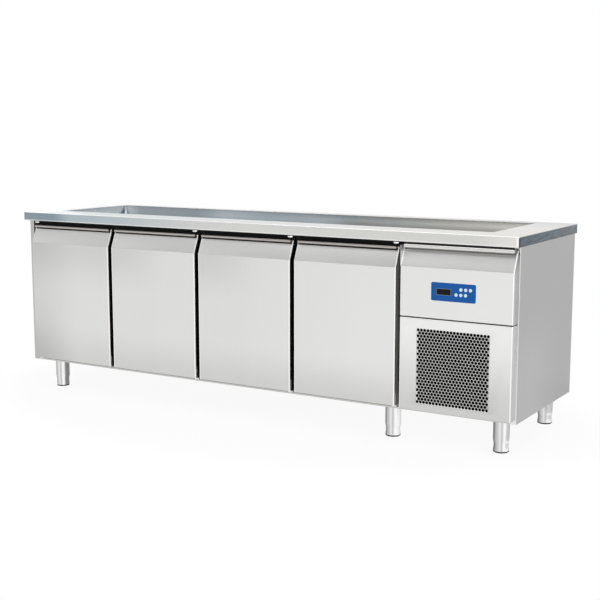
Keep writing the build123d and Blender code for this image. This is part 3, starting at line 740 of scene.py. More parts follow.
@dataclass(frozen=True)
class EdgedSteel(Steel):
    """Steel of the fronts: painted highlights along the folded upright edges, and painted shade at the foot.

    A lift, shadow or highlight is the share by which painted light or shade makes a place lighter or darker.

    Attributes:
        node: CAD node of the first front.
        next_node: CAD node of the next front in the row, or the same node for a single front.
        single_pitch: Repeat of a single front, which is longer than the counter.
        slant_lean: Depth that the leaning face gains per height.
        slack: Distance by which a front may begin before its place in the row.
    """

    node: str = "door_1_skin"
    next_node: str = "door_2_skin"
    single_pitch: float = 10.0
    slack: float = 0.001
    # Painted highlights along the upright edges, on the folded returns and along the hem.
    highlight_tone: Colour = tone(254)
    edge_width: float = 0.0065
    edge_depth: float = 0.012
    return_highlight: float = 0.0
    # Painted shade at the foot and towards the left of the row.
    foot_height: float = 0.147
    foot_fade: float = 0.19
    foot_shadow: float = 0.13
    left_shadow: float = 0.15
    left_width: Pair = (0.04, 0.36)
    left_places: Pair = (0.1, 0.28)
    left_heights: Pair = (0.48, 0.70)
    end_places: Pair = (-0.720, -0.702)
    end_width: float = 0.3
    end_height: float = 0.32
    end_edge: Pair = (0.010, 0.015)
    # Painted light towards the right of the row.
    right_lift: float = 0.10
    right_places: Pair = (0.0, 0.6)
    bend_height: float = 0.707
    bend_blend: Pair = (-0.002, 0.003)
    slant_lean: float = 0.422
    slant_places: Pair = (0.28, 0.5)
    slant_blend: Pair = (0.005, 0.05)
    # Painted shade and light on the leaning face: lighter at its foot, darker at its top and more so at the
    # right.
    slant_shadow: float = 0.0
    slant_foot_lift: float = 0.13
    slant_top_shadow: float = 0.08
    slant_right_shadow: float = 0.08
    hem_height: float = 0.7715
    hem_width: Pair = (0.002, 0.007)
    hem_highlight: float = 0.3

    def slant(self, z: Sock) -> Sock:
        """Smooth step from 0 on the upright face to 1 on the leaning one."""
        return (z - self.bend_height).rise(*self.bend_blend)

    def dark(self, left: Sock, inside: Sock, x: Sock, z: Sock) -> Sock:
        """Share of painted shade on the upright face of a front: at its left below the bend, and at the far
        left.

        Args:
            left: Nearness to the left end of the row.
            inside: Distance from the left edge of the front.
            x: Place along the counter.
            z: Height.

        Returns:
            The share.
        """
        near = inside.fall(*self.left_width) * x.fall(*self.left_places)
        near = near.larger(x.fall(*self.end_places))
        under = z.rise(*self.left_heights) * (1 - self.slant(z))
        corner = left * z.fall(self.foot_height, self.foot_height + self.end_height)
        return near * under * self.left_shadow + left * self.foot_shadow + corner * self.left_shadow

    def slope(self, paint: Paint, face: Sock, x: Sock, z: Sock) -> Sock:
        """A face with painted light and shade on its leaning part: lighter at the foot, darker at the top,
        and a painted highlight along the hem.

        Args:
            paint: Tree of the material.
            face: Colour of the face.
            x: Place along the counter.
            z: Height.

        Returns:
            The colour.
        """
        lean, up = self.slant(z), z.rise(self.bend_height, self.hem_height)
        leaning = lean + (z - self.bend_height).rise(*self.slant_blend)
        face = paint.mix(leaning * self.slant_shadow, face, PAINTED_SHADE)
        face = paint.mix(lean * (1 - up) * 0.5, face, self.shade(self.slant_foot_lift))
        upper = x.rise(*self.slant_places) * self.slant_right_shadow + self.slant_top_shadow
        face = paint.mix(lean * up * upper, face, PAINTED_SHADE)
        hem = (self.hem_height - z).fall(*self.hem_width)
        return paint.mix(hem * self.hem_highlight, face, self.highlight_tone)

    def colour(self, paint: Paint) -> Sock:
        """Colour with painted light and shade, and painted highlights along the edges: distance to the nearer
        edge of a front, repeated along the row.

        Args:
            paint: Tree of the material.

        Returns:
            The colour.
        """
        low, high = limits(self.node)
        pitch = limits(self.next_node)[0][0] - low[0] or self.single_pitch
        x, y, z = paint.parts()
        inside = (x - low[0] + self.slack).modulo(pitch) - self.slack
        edge = inside.smaller((high[0] - low[0]) - inside)
        face = Steel.colour(self, paint)
        # Painted light towards the right of the row.
        right = x.rise(*self.right_places) * (1 - self.slant(z) * 0.8) * 0.5
        face = paint.mix(right, face, self.shade(self.right_lift))
        # Painted shade at the foot.
        foot = z.fall(self.foot_height, self.foot_height + self.foot_fade)
        face = paint.mix(foot, face, self.shade(-self.foot_shadow))
        if self.left_shadow:
            left = x.fall(low[0], low[0] + self.end_width)
            face = paint.mix(self.dark(left, inside, x, z), face, PAINTED_SHADE)
        face = self.slope(paint, face, x, z)
        # Painted highlights on the folded returns and along the upright edges.
        behind = y - low[1] - (z - self.bend_height).larger(0.0) * self.slant_lean
        inner = behind.rise(0.8 * self.edge_depth, self.edge_depth)
        face = paint.mix(inner * self.return_highlight, face, self.highlight_tone)
        bright = edge.fall(self.edge_width * 0.6, self.edge_width) * (1 - inner)
        bright = bright * (x - low[0]).rise(*self.end_edge) if self.left_shadow else bright
        return paint.mix(bright, face, self.highlight_tone)


@dataclass(frozen=True)
class SideSteel(Steel):
    """Steel of the right end panel, with painted light that makes it lighter low down at the front by the
    share lift.
    """

    lift: float = 0.16
    lift_heights: Pair = (0.20, 0.60)
    lift_depths: Pair = (-0.20, 0.25)

    def colour(self, paint: Paint) -> Sock:
        """Colour with painted light by height and depth."""
        _, y, z = paint.parts()
        return paint.mix(z.fall(*self.lift_heights) * y.fall(*self.lift_depths), Steel.colour(self, paint),
                         self.shade(self.lift))


@dataclass(frozen=True)
class BandedSteel(Steel):
    """Steel with painted shade where it faces its neighbours, and painted reflections: bands of colour by
    height.

    Attributes:
        node: CAD node that the heights are measured from.
        rows: Heights above the node's lowest point with the painted colour there, from low to high.
    """

    rough: float = 0.28
    grain: Grain = Grain.LENGTHWISE
    node: str = "door_1_core"
    rows: Bands = ()

    def colour(self, paint: Paint) -> Sock:
        """Colour of the painted bands, with the streaks of the brushing laid over."""
        height = paint.parts()[2] - limits(self.node)[0][2]
        return self.streaked(paint, paint.ramp(height, self.rows))


@dataclass(frozen=True)
class LegSteel(Steel):
    """Polished leg steel with painted reflections: upright light and dark streaks by the attribute "across".

    The attribute is the sine of the angle round the leg, from -1 at one side to 1 at the other.

    Attributes:
        rows: Places across the leg, from 0 to 1, with the painted reflection there.
        dark: Painted shade on the right side of the legs at the left end.
    """

    rough: float = 0.32
    dark: Colour = tone(84)
    dark_share: float = 0.8
    dark_across: Pair = (0.71, 0.83)
    dark_places: Pair = (-1.0, -0.9)
    rows: Bands = bands(
        (0.0, 92), (0.03, 112), (0.07, 140), (0.12, 184), (0.20, 200), (0.27, 210), (0.34, 234),
        (0.39, 232), (0.46, 200), (0.51, 206), (0.58, 242), (0.64, 254), (0.80, 254), (0.86, 250),
        (0.91, 236), (0.96, 226), (1.0, 205))

    def colour(self, paint: Paint) -> Sock:
        """Colour of the painted reflection streaks, a little uneven along the leg.

        Args:
            paint: Tree of the material.

        Returns:
            The colour.
        """
        across = paint.node("ShaderNodeAttribute", {"attribute_name": "across"}, output="Fac")
        place = across * 0.5 + 0.5 + paint.cloud.swing(0.04)
        left = paint.parts()[0].fall(*self.dark_places) * place.rise(*self.dark_across)
        band = paint.mix(left * self.dark_share, paint.ramp(place, self.rows), self.dark)
        return self.streaked(paint, band, 0.25)


@dataclass(frozen=True)
class Foil(Finish):
    """Printed foil of the controller: dark rings round the keys and a grey line round the display."""

    rough: float = 0.38
    mottle: float = 0.03
    relief: float = 0.00002
    ring: Colour = tone(18, 58, 125)
    ring_width: Pair = (0.0006, 0.0016)
    line: Colour = tone(120, 130, 140)
    line_width: Pair = (0.0014, 0.0020)
    keys: tuple[str, ...] = tuple(f"button_{k}" for k in range(1, 7))

    def sockets(self, paint: Paint) -> dict[str, Value]:
        """A ring is a distance from a key's middle, and the line one from the display's sides.

        Args:
            paint: Tree of the material.

        Returns:
            What feeds the Principled shader, by socket.
        """
        x, _, z = paint.parts()
        cloud = paint.noise((40.0,) * 3, 2.0)
        colour = self.mottled(paint, cloud)
        for key in self.keys:
            low, high = limits(key)
            middle, half = (low + high) / 2, (high - low) / 2
            away = ((x - middle[0]) ** 2.0 + (z - middle[2]) ** 2.0) ** 0.5
            colour = paint.mix((away - half[0]).fall(*self.ring_width), colour, self.ring)
        low, high = limits("controller_display")
        middle, half = (low + high) / 2, (high - low) / 2
        beyond = (abs(x - middle[0]) - half[0]).larger(abs(z - middle[2]) - half[2])
        return {
            "base_color": paint.mix(beyond.fall(*self.line_width), colour, self.line),
            "roughness": self.rough + cloud.swing(0.1),
            "normal": paint.bump(cloud, self.relief),
            "specular_ior_level": self.gloss,
        }


@dataclass(frozen=True)
class Profile(Finish):
    """Black plastic profile that is grey beyond a plane across the counter; the black is partly painted shade
    in the gaps, and the grey partly painted light where a gap is lit.

    Attributes:
        service: The grey, partly painted light.
        node: CAD node at whose side the grey begins.
        side: 0 for the node's left side, 1 for its right side.
        shift: Distance of the plane from that side.
        blur: Half of the length over which black turns grey.
    """

    service: Colour = tone(104, 103, 101)
    node: str = "control_panel"
    side: int = 0
    shift: float = 0.0
    blur: float = 0.004

    def sockets(self, paint: Paint) -> dict[str, Value]:
        """Fine spots, on black and then on grey.

        Args:
            paint: Tree of the material.

        Returns:
            What feeds the Principled shader, by socket.
        """
        start = limits(self.node)[self.side][0] + self.shift
        fine = paint.noise((self.scale,) * 3)
        beyond = paint.parts()[0].rise(start - self.blur, start + self.blur)
        return {
            "base_color": paint.mix(beyond, self.mottled(paint, fine), self.service),
            "roughness": self.rough + fine.swing(0.1),
            "normal": paint.bump(fine, self.relief),
            "specular_ior_level": self.gloss,
        }


@dataclass(frozen=True)
class GrilleSteel(Steel):
    """Steel of the perforated field, as light as the panel round it along its border."""

    border: Colour = tone(232, 232, 231)
    border_width: Pair = (0.003, 0.007)

    def colour(self, paint: Paint) -> Sock:
        """Colour by the distance to the nearest side of the field.

        Args:
            paint: Tree of the material.

        Returns:
            The colour.
        """
        low, high = ServiceFront().field()
        x, _, z = paint.parts()
        across = (x - low[0]).smaller(high[0] - x)
        up = (z - low[1]).smaller(high[1] - z)
        edge = across.smaller(up).fall(*self.border_width)
        return paint.mix(edge, Steel.colour(self, paint), self.border)


@dataclass(frozen=True)
class Zinc(Finish):
    """Galvanised sheet with its crystal spangle."""

    rough: float = 0.42
    metal: float = 1.0
    mottle: float = 0.14
    scale: float = 90.0

    def sockets(self, paint: Paint) -> dict[str, Value]:
        """One shade of grey and one roughness per crystal.

        Args:
            paint: Tree of the material.

        Returns:
            What feeds the Principled shader, by socket.
        """
        values = {"Vector": paint.place(), "Scale": self.scale}
        cells = paint.node("ShaderNodeTexVoronoi", inputs=values, output="Color")
        value = paint.node("ShaderNodeSeparateColor", inputs={0: cells})
        return {
            "base_color": self.mottled(paint, value),
            "metallic": self.metal,
            "roughness": self.rough + value.swing(0.2),
        }


STEEL_TOP = TopSteel("top_steel", tone(215, 213, 208), rough=0.24)
STEEL_WELL = WellSteel("well_steel", tone(205, 210, 213), rough=0.26)
STEEL_DOOR = EdgedSteel("door_steel", tone(225, 225, 223))
# Painted shade on the panel's leaning face.
STEEL_PANEL = EdgedSteel("panel_steel", tone(228, 228, 227), node="control_panel",
                         next_node="control_panel", edge_width=0.005, edge_depth=0.0042, foot_shadow=0.0,
                         left_shadow=0.0, bend_height=0.716, slant_lean=0.469, slant_shadow=0.19,
                         slant_top_shadow=0.04, hem_height=0.780, hem_highlight=0.0)
# Painted shade at the grille panel's foot, and painted highlights on its returns.
STEEL_GRILLE_PANEL = EdgedSteel("grille_panel_steel", tone(234, 234, 233), node="grille_panel",
                                next_node="grille_panel", edge_width=0.005, edge_depth=0.0042,
                                return_highlight=0.85, foot_height=0.142, foot_fade=0.34, foot_shadow=0.23,
                                left_shadow=0.0)
STEEL_GRILLE = GrilleSteel("grille_steel", tone(205, 205, 204))
STEEL_BODY = Steel("body_steel", tone(217))
# Painted light low down at the front of the right end panel.
STEEL_RIGHT = SideSteel("right_side_steel", tone(217))
# Painted shade: the left end panel is a darker copy of the body steel.
STEEL_LEFT = Steel("left_side_steel", tone(187, 187, 186))
# Painted reflection and shade in bands across the door lips.
STEEL_LIP = BandedSteel("lip_steel", tone(196, 190, 186), rows=bands(
    (0.6298, 215, 213, 210), (0.6302, 215, 213, 210), (0.6308, 120, 117, 114), (0.6330, 172, 168, 164),
    (0.6352, 196, 192, 188), (0.6374, 172, 167, 163), (0.6396, 140, 136, 133), (0.6418, 96, 93, 91)))
STEEL_PANEL_LIP = Steel("panel_lip_steel", tone(220, 219, 216), rough=0.26, grain=Grain.LENGTHWISE)
# Painted shade: dark between the lugs, where the brackets lie in the gap.
STEEL_HINGE = BandedSteel("hinge_steel", tone(214), node="hinge_brackets", rows=bands(
    (0.0, 225), (0.0064, 225), (0.0070, 30), (0.6590, 30), (0.6598, 240), (0.6660, 240)))
# Painted light and shade in bands along the sill, darkest where the doors overhang it.
STEEL_SILL = BandedSteel("sill_steel", tone(236, 235, 232), node="bottom_rail", rows=bands(
    (0.0, 160, 158, 154), (0.0012, 192, 191, 188), (0.0035, 208, 207, 204), (0.0052, 186, 185, 182),
    (0.0068, 138, 137, 134), (0.0090, 112, 111, 109), (0.0120, 124, 123, 121), (0.0180, 160, 159, 157),
    (0.0400, 214, 213, 210)))
# Painted shade: darker steel inside the control panel's grip.
STEEL_CHANNEL = Steel("channel_steel", tone(120, 119, 117), rough=0.4)
STEEL_LINER = Steel("liner_steel", tone(220, 222, 224), rough=0.36)
STEEL_SHELF = Steel("shelf_steel", tone(226), rough=0.28, grain=Grain.CROSSWISE)
CHROME = Finish("bright_chrome", tone(236, 236, 238), rough=0.12, metal=1.0, mottle=0.02, scale=60.0,
                relief=0.000004)
# Painted reflections in upright streaks on the legs and feet.
POLISHED = LegSteel("polished_leg", tone(240, 240, 242))
# Black partly as painted shade in the gaps between the doors.
EDGE_BLACK = Finish("edge_profile", tone(15), rough=0.55, gloss=0.15)
# Painted light: grey on door 4's right side, in the lit gap beside the service panel.
EDGE_LIT = Profile("edge_profile_grey", tone(15), gloss=0.2, service=tone(152, 149, 144),
                    node="door_4_skin", side=1, shift=-0.004)
# Black partly as painted shade behind the doors; grey over the service bay, partly painted light in the gap
# there.
FRAME_BLACK = Profile("frame_profile", tone(22, 22, 23), rough=0.45, gloss=0.15)
# Painted shade on the cut walls of the holes.
HOLE_WALL = Finish("hole_wall", tone(58, 58, 59), metal=0.6)
# Black as painted shade, so that the holes look dark.
FILTER = Finish("filter_mat", tone(7, 7, 8), rough=0.95, mottle=0.3, scale=900.0, relief=0.0004, gloss=0.04)
SEAL = Finish("seal_black", tone(38, 38, 40), rough=0.62)
FOOT_RUBBER = Finish("foot_rubber", tone(26, 26, 28), rough=0.7, gloss=0.15)
FOAM = Finish("rigid_foam", tone(232, 212, 150), rough=0.85, mottle=0.12, scale=420.0, relief=0.0004)
COPPER = Finish("drawn_copper", tone(205, 130, 92), rough=0.3, metal=1.0, mottle=0.08, scale=40.0)
FINS = Finish("coil_fins", tone(40, 42, 44), rough=0.55, mottle=0.1, scale=300.0)
COLD_FINS = Finish("cold_fins", tone(196, 200, 204), rough=0.4, metal=1.0, scale=200.0)
ZINC = Zinc("zinc_sheet", tone(178, 182, 186))
MOTOR = Finish("motor_paint", tone(34, 34, 36), rough=0.42)
FAN = Finish("fan_plastic", tone(26, 26, 28))
SHELL_PAINT = Finish("compressor_paint", tone(20, 20, 22), rough=0.32)
COVER = Finish("evaporator_cover", tone(232, 233, 234), rough=0.45, mottle=0.02)
FOIL = Foil("controller_foil", tone(27, 89, 163), gloss=0.12)
WINDOW = Finish("display_window", tone(18, 20, 23), rough=0.12, mottle=0.1, scale=30.0, relief=0.000002,
                gloss=0.12)
KEY = Finish("key_cap", tone(206, 232, 250), rough=0.32, mottle=0.02)
GLAND = Finish("gland_plastic", tone(24), rough=0.55)


def add_object(name: str, data: bpy.types.ID) -> bpy.types.Object:
    """A new object of the scene.

    Args:
        name: Its name.
        data: Its mesh, lamp or camera.

    Returns:
        The object.
    """
    thing = bpy.data.objects.new(name, data)
    bpy.context.scene.collection.objects.link(thing)
    return thing


def closed_mesh(shell: Shell, name: str, across: np.ndarray | None) -> bpy.types.Mesh:
    """A mesh from a shell, with doubled points merged and its faces turned outwards.

    Args:
        shell: Points and faces.
        name: Name of the mesh.
        across: Value of the attribute of the same name at every point.

    Returns:
        The mesh.
    """
    mesh = bpy.data.meshes.new(name)
    faces = [face for block in shell.blocks for face in block.tolist()]
    mesh.from_pydata(shell.points.tolist(), [], faces)
    if across is not None:
        mesh.attributes.new("across", "FLOAT", "POINT").data.foreach_set("value", across.astype(np.float32))
    work = bmesh.new()
    work.from_mesh(mesh)
    bmesh.ops.remove_doubles(work, verts=work.verts, dist=TOUCH)
    bmesh.ops.recalc_face_normals(work, faces=work.faces)
    work.to_mesh(mesh)
    work.free()
    return mesh


def face_towards(mesh: bpy.types.Mesh, facing: Triple) -> None:
    """Turns an open sheet over if most of its area looks away from a direction.

    Args:
        mesh: The sheet.
        facing: The direction.
    """
    areas = np.empty(len(mesh.polygons))
    normals = np.empty(len(mesh.polygons) * 3)
    mesh.polygons.foreach_get("area", areas)
    mesh.polygons.foreach_get("normal", normals)
    if areas @ (normals.reshape(-1, 3) @ np.asarray(facing)) < 0:
        mesh.flip_normals()


def put(shell: Shell, name: str, finish: Finish, slot: str, stands_for: str = "", body: str = "cabinet",
        crease: float = 32.0, wall: float = 0.0, facing: Triple | None = None,
        bevel: float = 0.0, across: np.ndarray | None = None, cut: Finish | None = None) -> None:
    """Makes a piece from a shell and lets it ride on a body.

    Args:
        shell: Points and faces.
        name: Name of the piece.
        finish: Its finish.
        slot: The record's material slot; not used.
        stands_for: CAD node that it replaces, if any.
        body: The body that it moves with.
        crease: Angle in degrees above which an edge stays sharp.
        wall: Thickness given to an open sheet, inwards.
        facing: Direction that an open sheet looks in.
        bevel: Width of a rounding on the sharp edges.
        across: Value of the attribute of the same name at every point.
        cut: Finish of the cut edges of a sheet with a wall.
    """
    mesh = closed_mesh(shell, name, across)
    if facing is not None:
        face_towards(mesh, facing)
    mesh.shade_smooth()
    mesh.set_sharp_from_angle(angle=math.radians(crease))
    mesh.materials.append(finish.material())
    piece = add_object(name, mesh)
    if wall:
        sheet = piece.modifiers.new("wall", "SOLIDIFY")
        sheet.thickness = wall
        sheet.offset = -1.0
        sheet.use_even_offset = True
        if cut is not None:
            mesh.materials.append(cut.material())
            sheet.material_offset_rim = 1
    if bevel:
        soft = piece.modifiers.new("edges", "BEVEL")
        soft.width = bevel
        soft.segments = 3
        soft.limit_method = "ANGLE"
        soft.angle_limit = math.radians(crease)
    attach(piece, body)
    if stands_for:
        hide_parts(stands_for)
    log.info("piece %s rides on %s", name, body)


def dress(finish: Finish, *nodes: str) -> None:
    """Gives CAD nodes a finish.

    Args:
        finish: The finish.
        nodes: Names of the nodes.
    """
    for node in nodes:
        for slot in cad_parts[node].material_slots:
            slot.material = finish.material()
        log.info("node %s is finished in %s", node, finish.name)


@dataclass
class Worktop:
    """Folded worktop with a rounded rim round the well, and the tub that hangs in it.

    Attributes:
        flange_steps: Radius and height over the tub's floor along the waste's dished flange.
        tail_steps: Radius and height over the lower end along the waste's tail.
        bar: Half length and half width of each bar across the waste.
        bar_levels: Lower and upper side of the bars, from the tub's floor.
    """

    edge: float = 0.0028
    mouth_edge: float = 0.004
    sheet: float = 0.0015
    hem: float = 0.0045
    hem_edge: float = 0.0008
    mouth_drop: float = 0.006
    flange: float = 0.014
    mouth_corner: float = 0.012
    corner: float = 0.004
    floor_radius: float = 0.014
    drain_bore: float = 0.012
    flange_steps: Steps = ((0.012, -0.004), (0.018, 0.0002), (0.031, 0.0024), (0.0345, 0.0024),
                           (0.036, 0.0004), (0.036, 0.0), (0.020, 0.0))
    tail_steps: Steps = ((0.020, 0.05), (0.015, 0.05), (0.015, 0.0), (0.012, 0.0))
    bar: Pair = (0.0125, 0.0012)
    bar_levels: Pair = (-0.006, -0.003)

    def __post_init__(self) -> None:
        """Reads the outlines from the frame."""
        self.low, self.high = limits("worktop")
        tub_low, tub_high = limits("well_tub")
        self.mouth_low = tub_low[:2] + self.flange
        self.mouth_high = tub_high[:2] - self.flange
        self.floor = tub_low[2] + self.sheet

    def rim(self, *steps: Pair) -> np.ndarray:
        """Outer outlines, each with its inset and height."""
        return nested(self.low[:2], self.high[:2], self.corner, steps, Axis.Z)

    def mouth(self, *steps: Pair) -> np.ndarray:
        """Outlines of the well, each with its inset and height; a negative inset lies outside the well."""
        return nested(self.mouth_low, self.mouth_high, self.mouth_corner, steps, Axis.Z)

    def build_top(self) -> None:
        """Closed section carried round the rim: mouth, top, edge, skirt, hem and underside."""
        top, foot, sheet, hem = self.high[2], self.low[2], self.sheet, self.hem
        inner = arc((self.mouth_edge, top - self.mouth_edge), self.mouth_edge, 180, 90) * (-1, 1)
        outer = arc((self.edge, top - self.edge), self.edge, 90, 180)
        drop = top - self.mouth_drop
        rings = np.concatenate((
            self.mouth((0.0, drop), *inner),
            self.rim(*outer, (0.0, foot + self.hem_edge), (self.hem_edge, foot), (hem, foot),
                     (hem, foot + sheet), (sheet, foot + sheet), (sheet, top - sheet)),
            self.mouth((-sheet, top - sheet), (-sheet, drop))))
        put(Shell.loft(rings, closed=True), "worktop_sheet", STEEL_TOP, "steel_top", "worktop", crease=40)

    def build_tub(self) -> None:
        """Walls, rounded floor edge and floor as outlines that shrink to a circle at the waste."""
        low, high = limits("well_drain")
        centre, bore, r = (low[:2] + high[:2]) / 2, self.drain_bore, self.floor_radius
        walls = self.mouth((0.0, self.high[2] - self.mouth_drop), *arc((r, self.floor + r), r, 180, 270))
        hole = nested(centre - bore, centre + bore, bore, ((0.0, self.floor),), Axis.Z)
        put(Shell.loft(np.concatenate((walls, hole)), ends=False), "well_tub_sheet", STEEL_WELL,
            "steel_well", "well_tub", wall=self.sheet, facing=UP)

    def build_waste(self) -> None:
        """Turned waste: dished flange, bore, tail and neck as one closed profile, with a cross bar."""
        low, high = limits("well_drain")
        centre = (low + high) / 2 * (1, 1, 0)
        profile = np.concatenate((self.flange_steps + np.array((0.0, self.floor)),
                                  self.tail_steps + np.array((0.0, low[2]))))
        waste = Shell.turned(profile, centre, Axis.Z, closed=True)
        for half in (self.bar, self.bar[::-1]):
            corners = [(*(centre[:2] + way * np.array(half)), self.floor + level)
                       for way, level in zip((-1, 1), self.bar_levels)]
            waste += Shell.box(*corners)
        put(waste, "well_waste", CHROME, "chrome_fitting", "well_drain")

    def build(self) -> None:
        """Builds the worktop, the tub and its waste."""
        self.build_top()
        self.build_tub()
        self.build_waste()


@dataclass
class FoldedFront:
    """A folded sheet front: rounded edges, and a slanted top under an overhanging lip.

    Attributes:
        cheeks: Width of the solid blocks at the left and right end of the grip.
        reach: Depth of the folded returns behind the rounded edges.
        clear: Distance of the inner solids behind the sheet's face.
    """

    low: np.ndarray
    high: np.ndarray
    cheeks: Pair = (0.010, 0.010)
    reach: float = 0.006
    slanted: bool = True
    clear: float = 0.0016
    radius: float = 0.004
    fold_radius: float = 0.008
    slant_height: float = 0.090
    slant_recess: float = 0.038
    slant_drop: float = 0.0255
    lip_height: float = 0.019
    lip_front: float = 0.014
    lip_back: float = 0.035
    lip_inset: float = 0.007
    lip_nose: float = 0.0055
    lip_end: float = 0.004
    lip_raise: float = -0.007
    gusset: float = 0.005
    gusset_depth: float = 0.006
    gusset_gap: float = 0.0003
    gusset_top: float = 0.0006
    gusset_overlap: float = 0.005
    gusset_cut: Pair = (0.003, 0.002)
    channel: float = 0.027
    trough_top: float = 0.0004
    trough_overlap: float = 0.001
    hem: float = 0.002
    hem_return: float = 0.004

    def slant(self, height: float) -> float:
        """Depth of the slanted face at a height."""
        rise = height - (self.high[2] - self.slant_height)
        return self.low[1] + self.slant_recess * max(rise, 0.0) / self.slant_height

    def across(self, marks: tuple[float, ...]) -> np.ndarray:
        """Profile from left to right: return, rounding, face, rounding, return.

        Args:
            marks: Extra places on the face.

        Returns:
            Array of (x, depth).
        """
        r, x0, x1 = self.radius, self.low[0], self.high[0]
        middle = np.array([(x, 0.0) for x in marks]).reshape(-1, 2)
        ends = r + self.reach
        return np.vstack(([(x0, ends)], arc((x0 + r, r), r, 180, 270), middle,
                          arc((x1 - r, r), r, 270, 360), [(x1, ends)]))

    def upwards(self, marks: tuple[float, ...]) -> np.ndarray:
        """Profile from bottom to top: return, rounding, face, then bend or rounding.

        A slanted front ends in a rounded hem that turns back into the finger channel.

        Args:
            marks: Extra heights on the face.

        Returns:
            Array of (depth, z).
        """
        r, y, z0, z1 = self.radius, self.low[1], self.low[2], self.high[2]
        rows = [[(y + r + self.reach, z0)], arc((y + r, z0 + r), r, 270, 180)]
        rows += [[(y, z)] for z in marks]
        if not self.slanted:
            rows += [arc((y + r, z1 - r), r, 180, 90), [(y + r + self.reach, z1)]]
            return np.vstack(rows)
        lean = math.atan2(self.slant_recess, self.slant_height)
        turn = math.degrees(lean)
        cut = self.fold_radius * math.tan(lean / 2)
        bend = z1 - self.slant_height
        rows.append(arc((y + self.fold_radius, bend - cut), self.fold_radius, 180, 180 - turn))
        height = z1 - self.slant_drop - self.hem
        depth = self.slant(height + self.hem * math.sin(lean)) + self.hem * math.cos(lean)
        rows.append(arc((depth, height), self.hem, 180 - turn, 0, 8))
        rows.append([(depth + self.hem, height - self.hem_return)])
        return np.vstack(rows)

    def sheet(self, opening: tuple[float, ...] | None = None, back: float = np.inf) -> Shell:
        """Grid of both profiles: x from the one across, depth the sum of both, z from the upward one.

        Args:
            opening: Left, right, low and high limit of a cut-out in the face.
            back: Depth that the returns don't pass.

        Returns:
            The open sheet.
        """
        across = self.across(opening[:2] if opening else ())
        upwards = self.upwards(opening[2:] if opening else ())
        points = spots(across[:, 0], np.minimum(upwards[:, :1] + across[:, 1], back), upwards[:, 1:])
        if opening is None:
            return Shell.grid(points)
        x, z = across[:, 0], upwards[:, 1]
        inside_x = (x[:-1] >= opening[0] - TOUCH) & (x[1:] <= opening[1] + TOUCH)
        inside_z = (z[:-1] >= opening[2] - TOUCH) & (z[1:] <= opening[3] + TOUCH)
        return Shell.grid(points, keep=~(inside_z[:, None] & inside_x[None, :]))

    def lip_section(self, inset: float) -> np.ndarray:
        """Section of the lip with a round nose.

        Args:
            inset: How far it is pulled in.

        Returns:
            Array of (depth, z).
        """
        y0, y1 = self.low[1] + self.lip_front + inset, self.low[1] + self.lip_back
        z0, z1 = self.high[2] - self.lip_height + inset, self.high[2] + self.lip_raise - inset
        r = self.lip_nose - inset
        return np.vstack((arc((y0 + r, z0 + r), r, 270, 180), arc((y0 + r, z1 - r), r, 180, 90),
                          [(y1, z1), (y1, z0)]))

    def lip(self) -> Shell:
        """Overhanging bar along the top: one section carried along x, pulled in at both ends.

        Over the last millimetres the pull follows 1 - sin t while x follows 1 - cos t.

        Returns:
            The closed bar.
        """
        turn = np.linspace(0, np.pi / 2, 7)
        full, small = self.lip_section(0.0), self.lip_section(self.lip_end)
        cap = small + (full - small) * np.sin(turn)[:, None, None]
        step = self.lip_end * (1 - np.cos(turn)) + self.lip_inset
        x = np.concatenate((self.low[0] + step, (self.high[0] - step)[::-1]))
        return Shell.loft(raised(np.concatenate((cap, cap[::-1])), x[:, None], Axis.X))

    def gussets(self) -> Shell:
        """Folded ends of the grip: bars with one rounded edge that carry the slanted edge on to the top.

        Returns:
            Both bars.
        """
        top, (cut, cut_depth) = self.high[2] - self.gusset_top, self.gusset_cut
        heights = np.array((self.high[2] - self.slant_drop - self.gusset_overlap, top - cut, top))
        depths = np.array([self.slant(z) for z in heights])[:, None]
        r, deep = self.radius, self.gusset_depth
        section = np.vstack((arc((r, r), r, 180, 270), [(self.gusset, 0), (self.gusset, deep), (0, deep)]))
        y = depths + np.minimum(section[:, 1] + np.array((0, 0, cut_depth))[:, None], deep)
        left = spots(self.low[0] + self.gusset_gap + section[:, 0], y, heights[:, None])
        right = spots(self.high[0] - self.gusset_gap - section[:, 0], y, heights[:, None])
        return Shell.loft(left) + Shell.loft(right)

    def trough(self, back: float, margin: float) -> Shell:
        """Inside of the grip, dark as painted shade: upstand behind the channel and blocks at its ends.

        Args:
            back: Depth of its back.
            margin: Distance from both sides of the front.

        Returns:
            The upstand and the blocks.
        """
        x0, x1 = self.low[0] + margin, self.high[0] - margin
        z1, floor = self.high[2] - self.trough_top, self.high[2] - self.channel
        upstand = self.low[1] + self.lip_back - self.trough_overlap
        cheek = [(self.slant(floor) + self.clear, floor), (self.slant(z1) + self.clear, z1), (back, z1),
                 (back, floor)]
        return (Shell.box((x0, upstand, floor), (x1, back, z1))
                + Shell.prism(cheek, x0, x0 + self.cheeks[0], Axis.X)
                + Shell.prism(cheek, x1 - self.cheeks[1], x1, Axis.X))


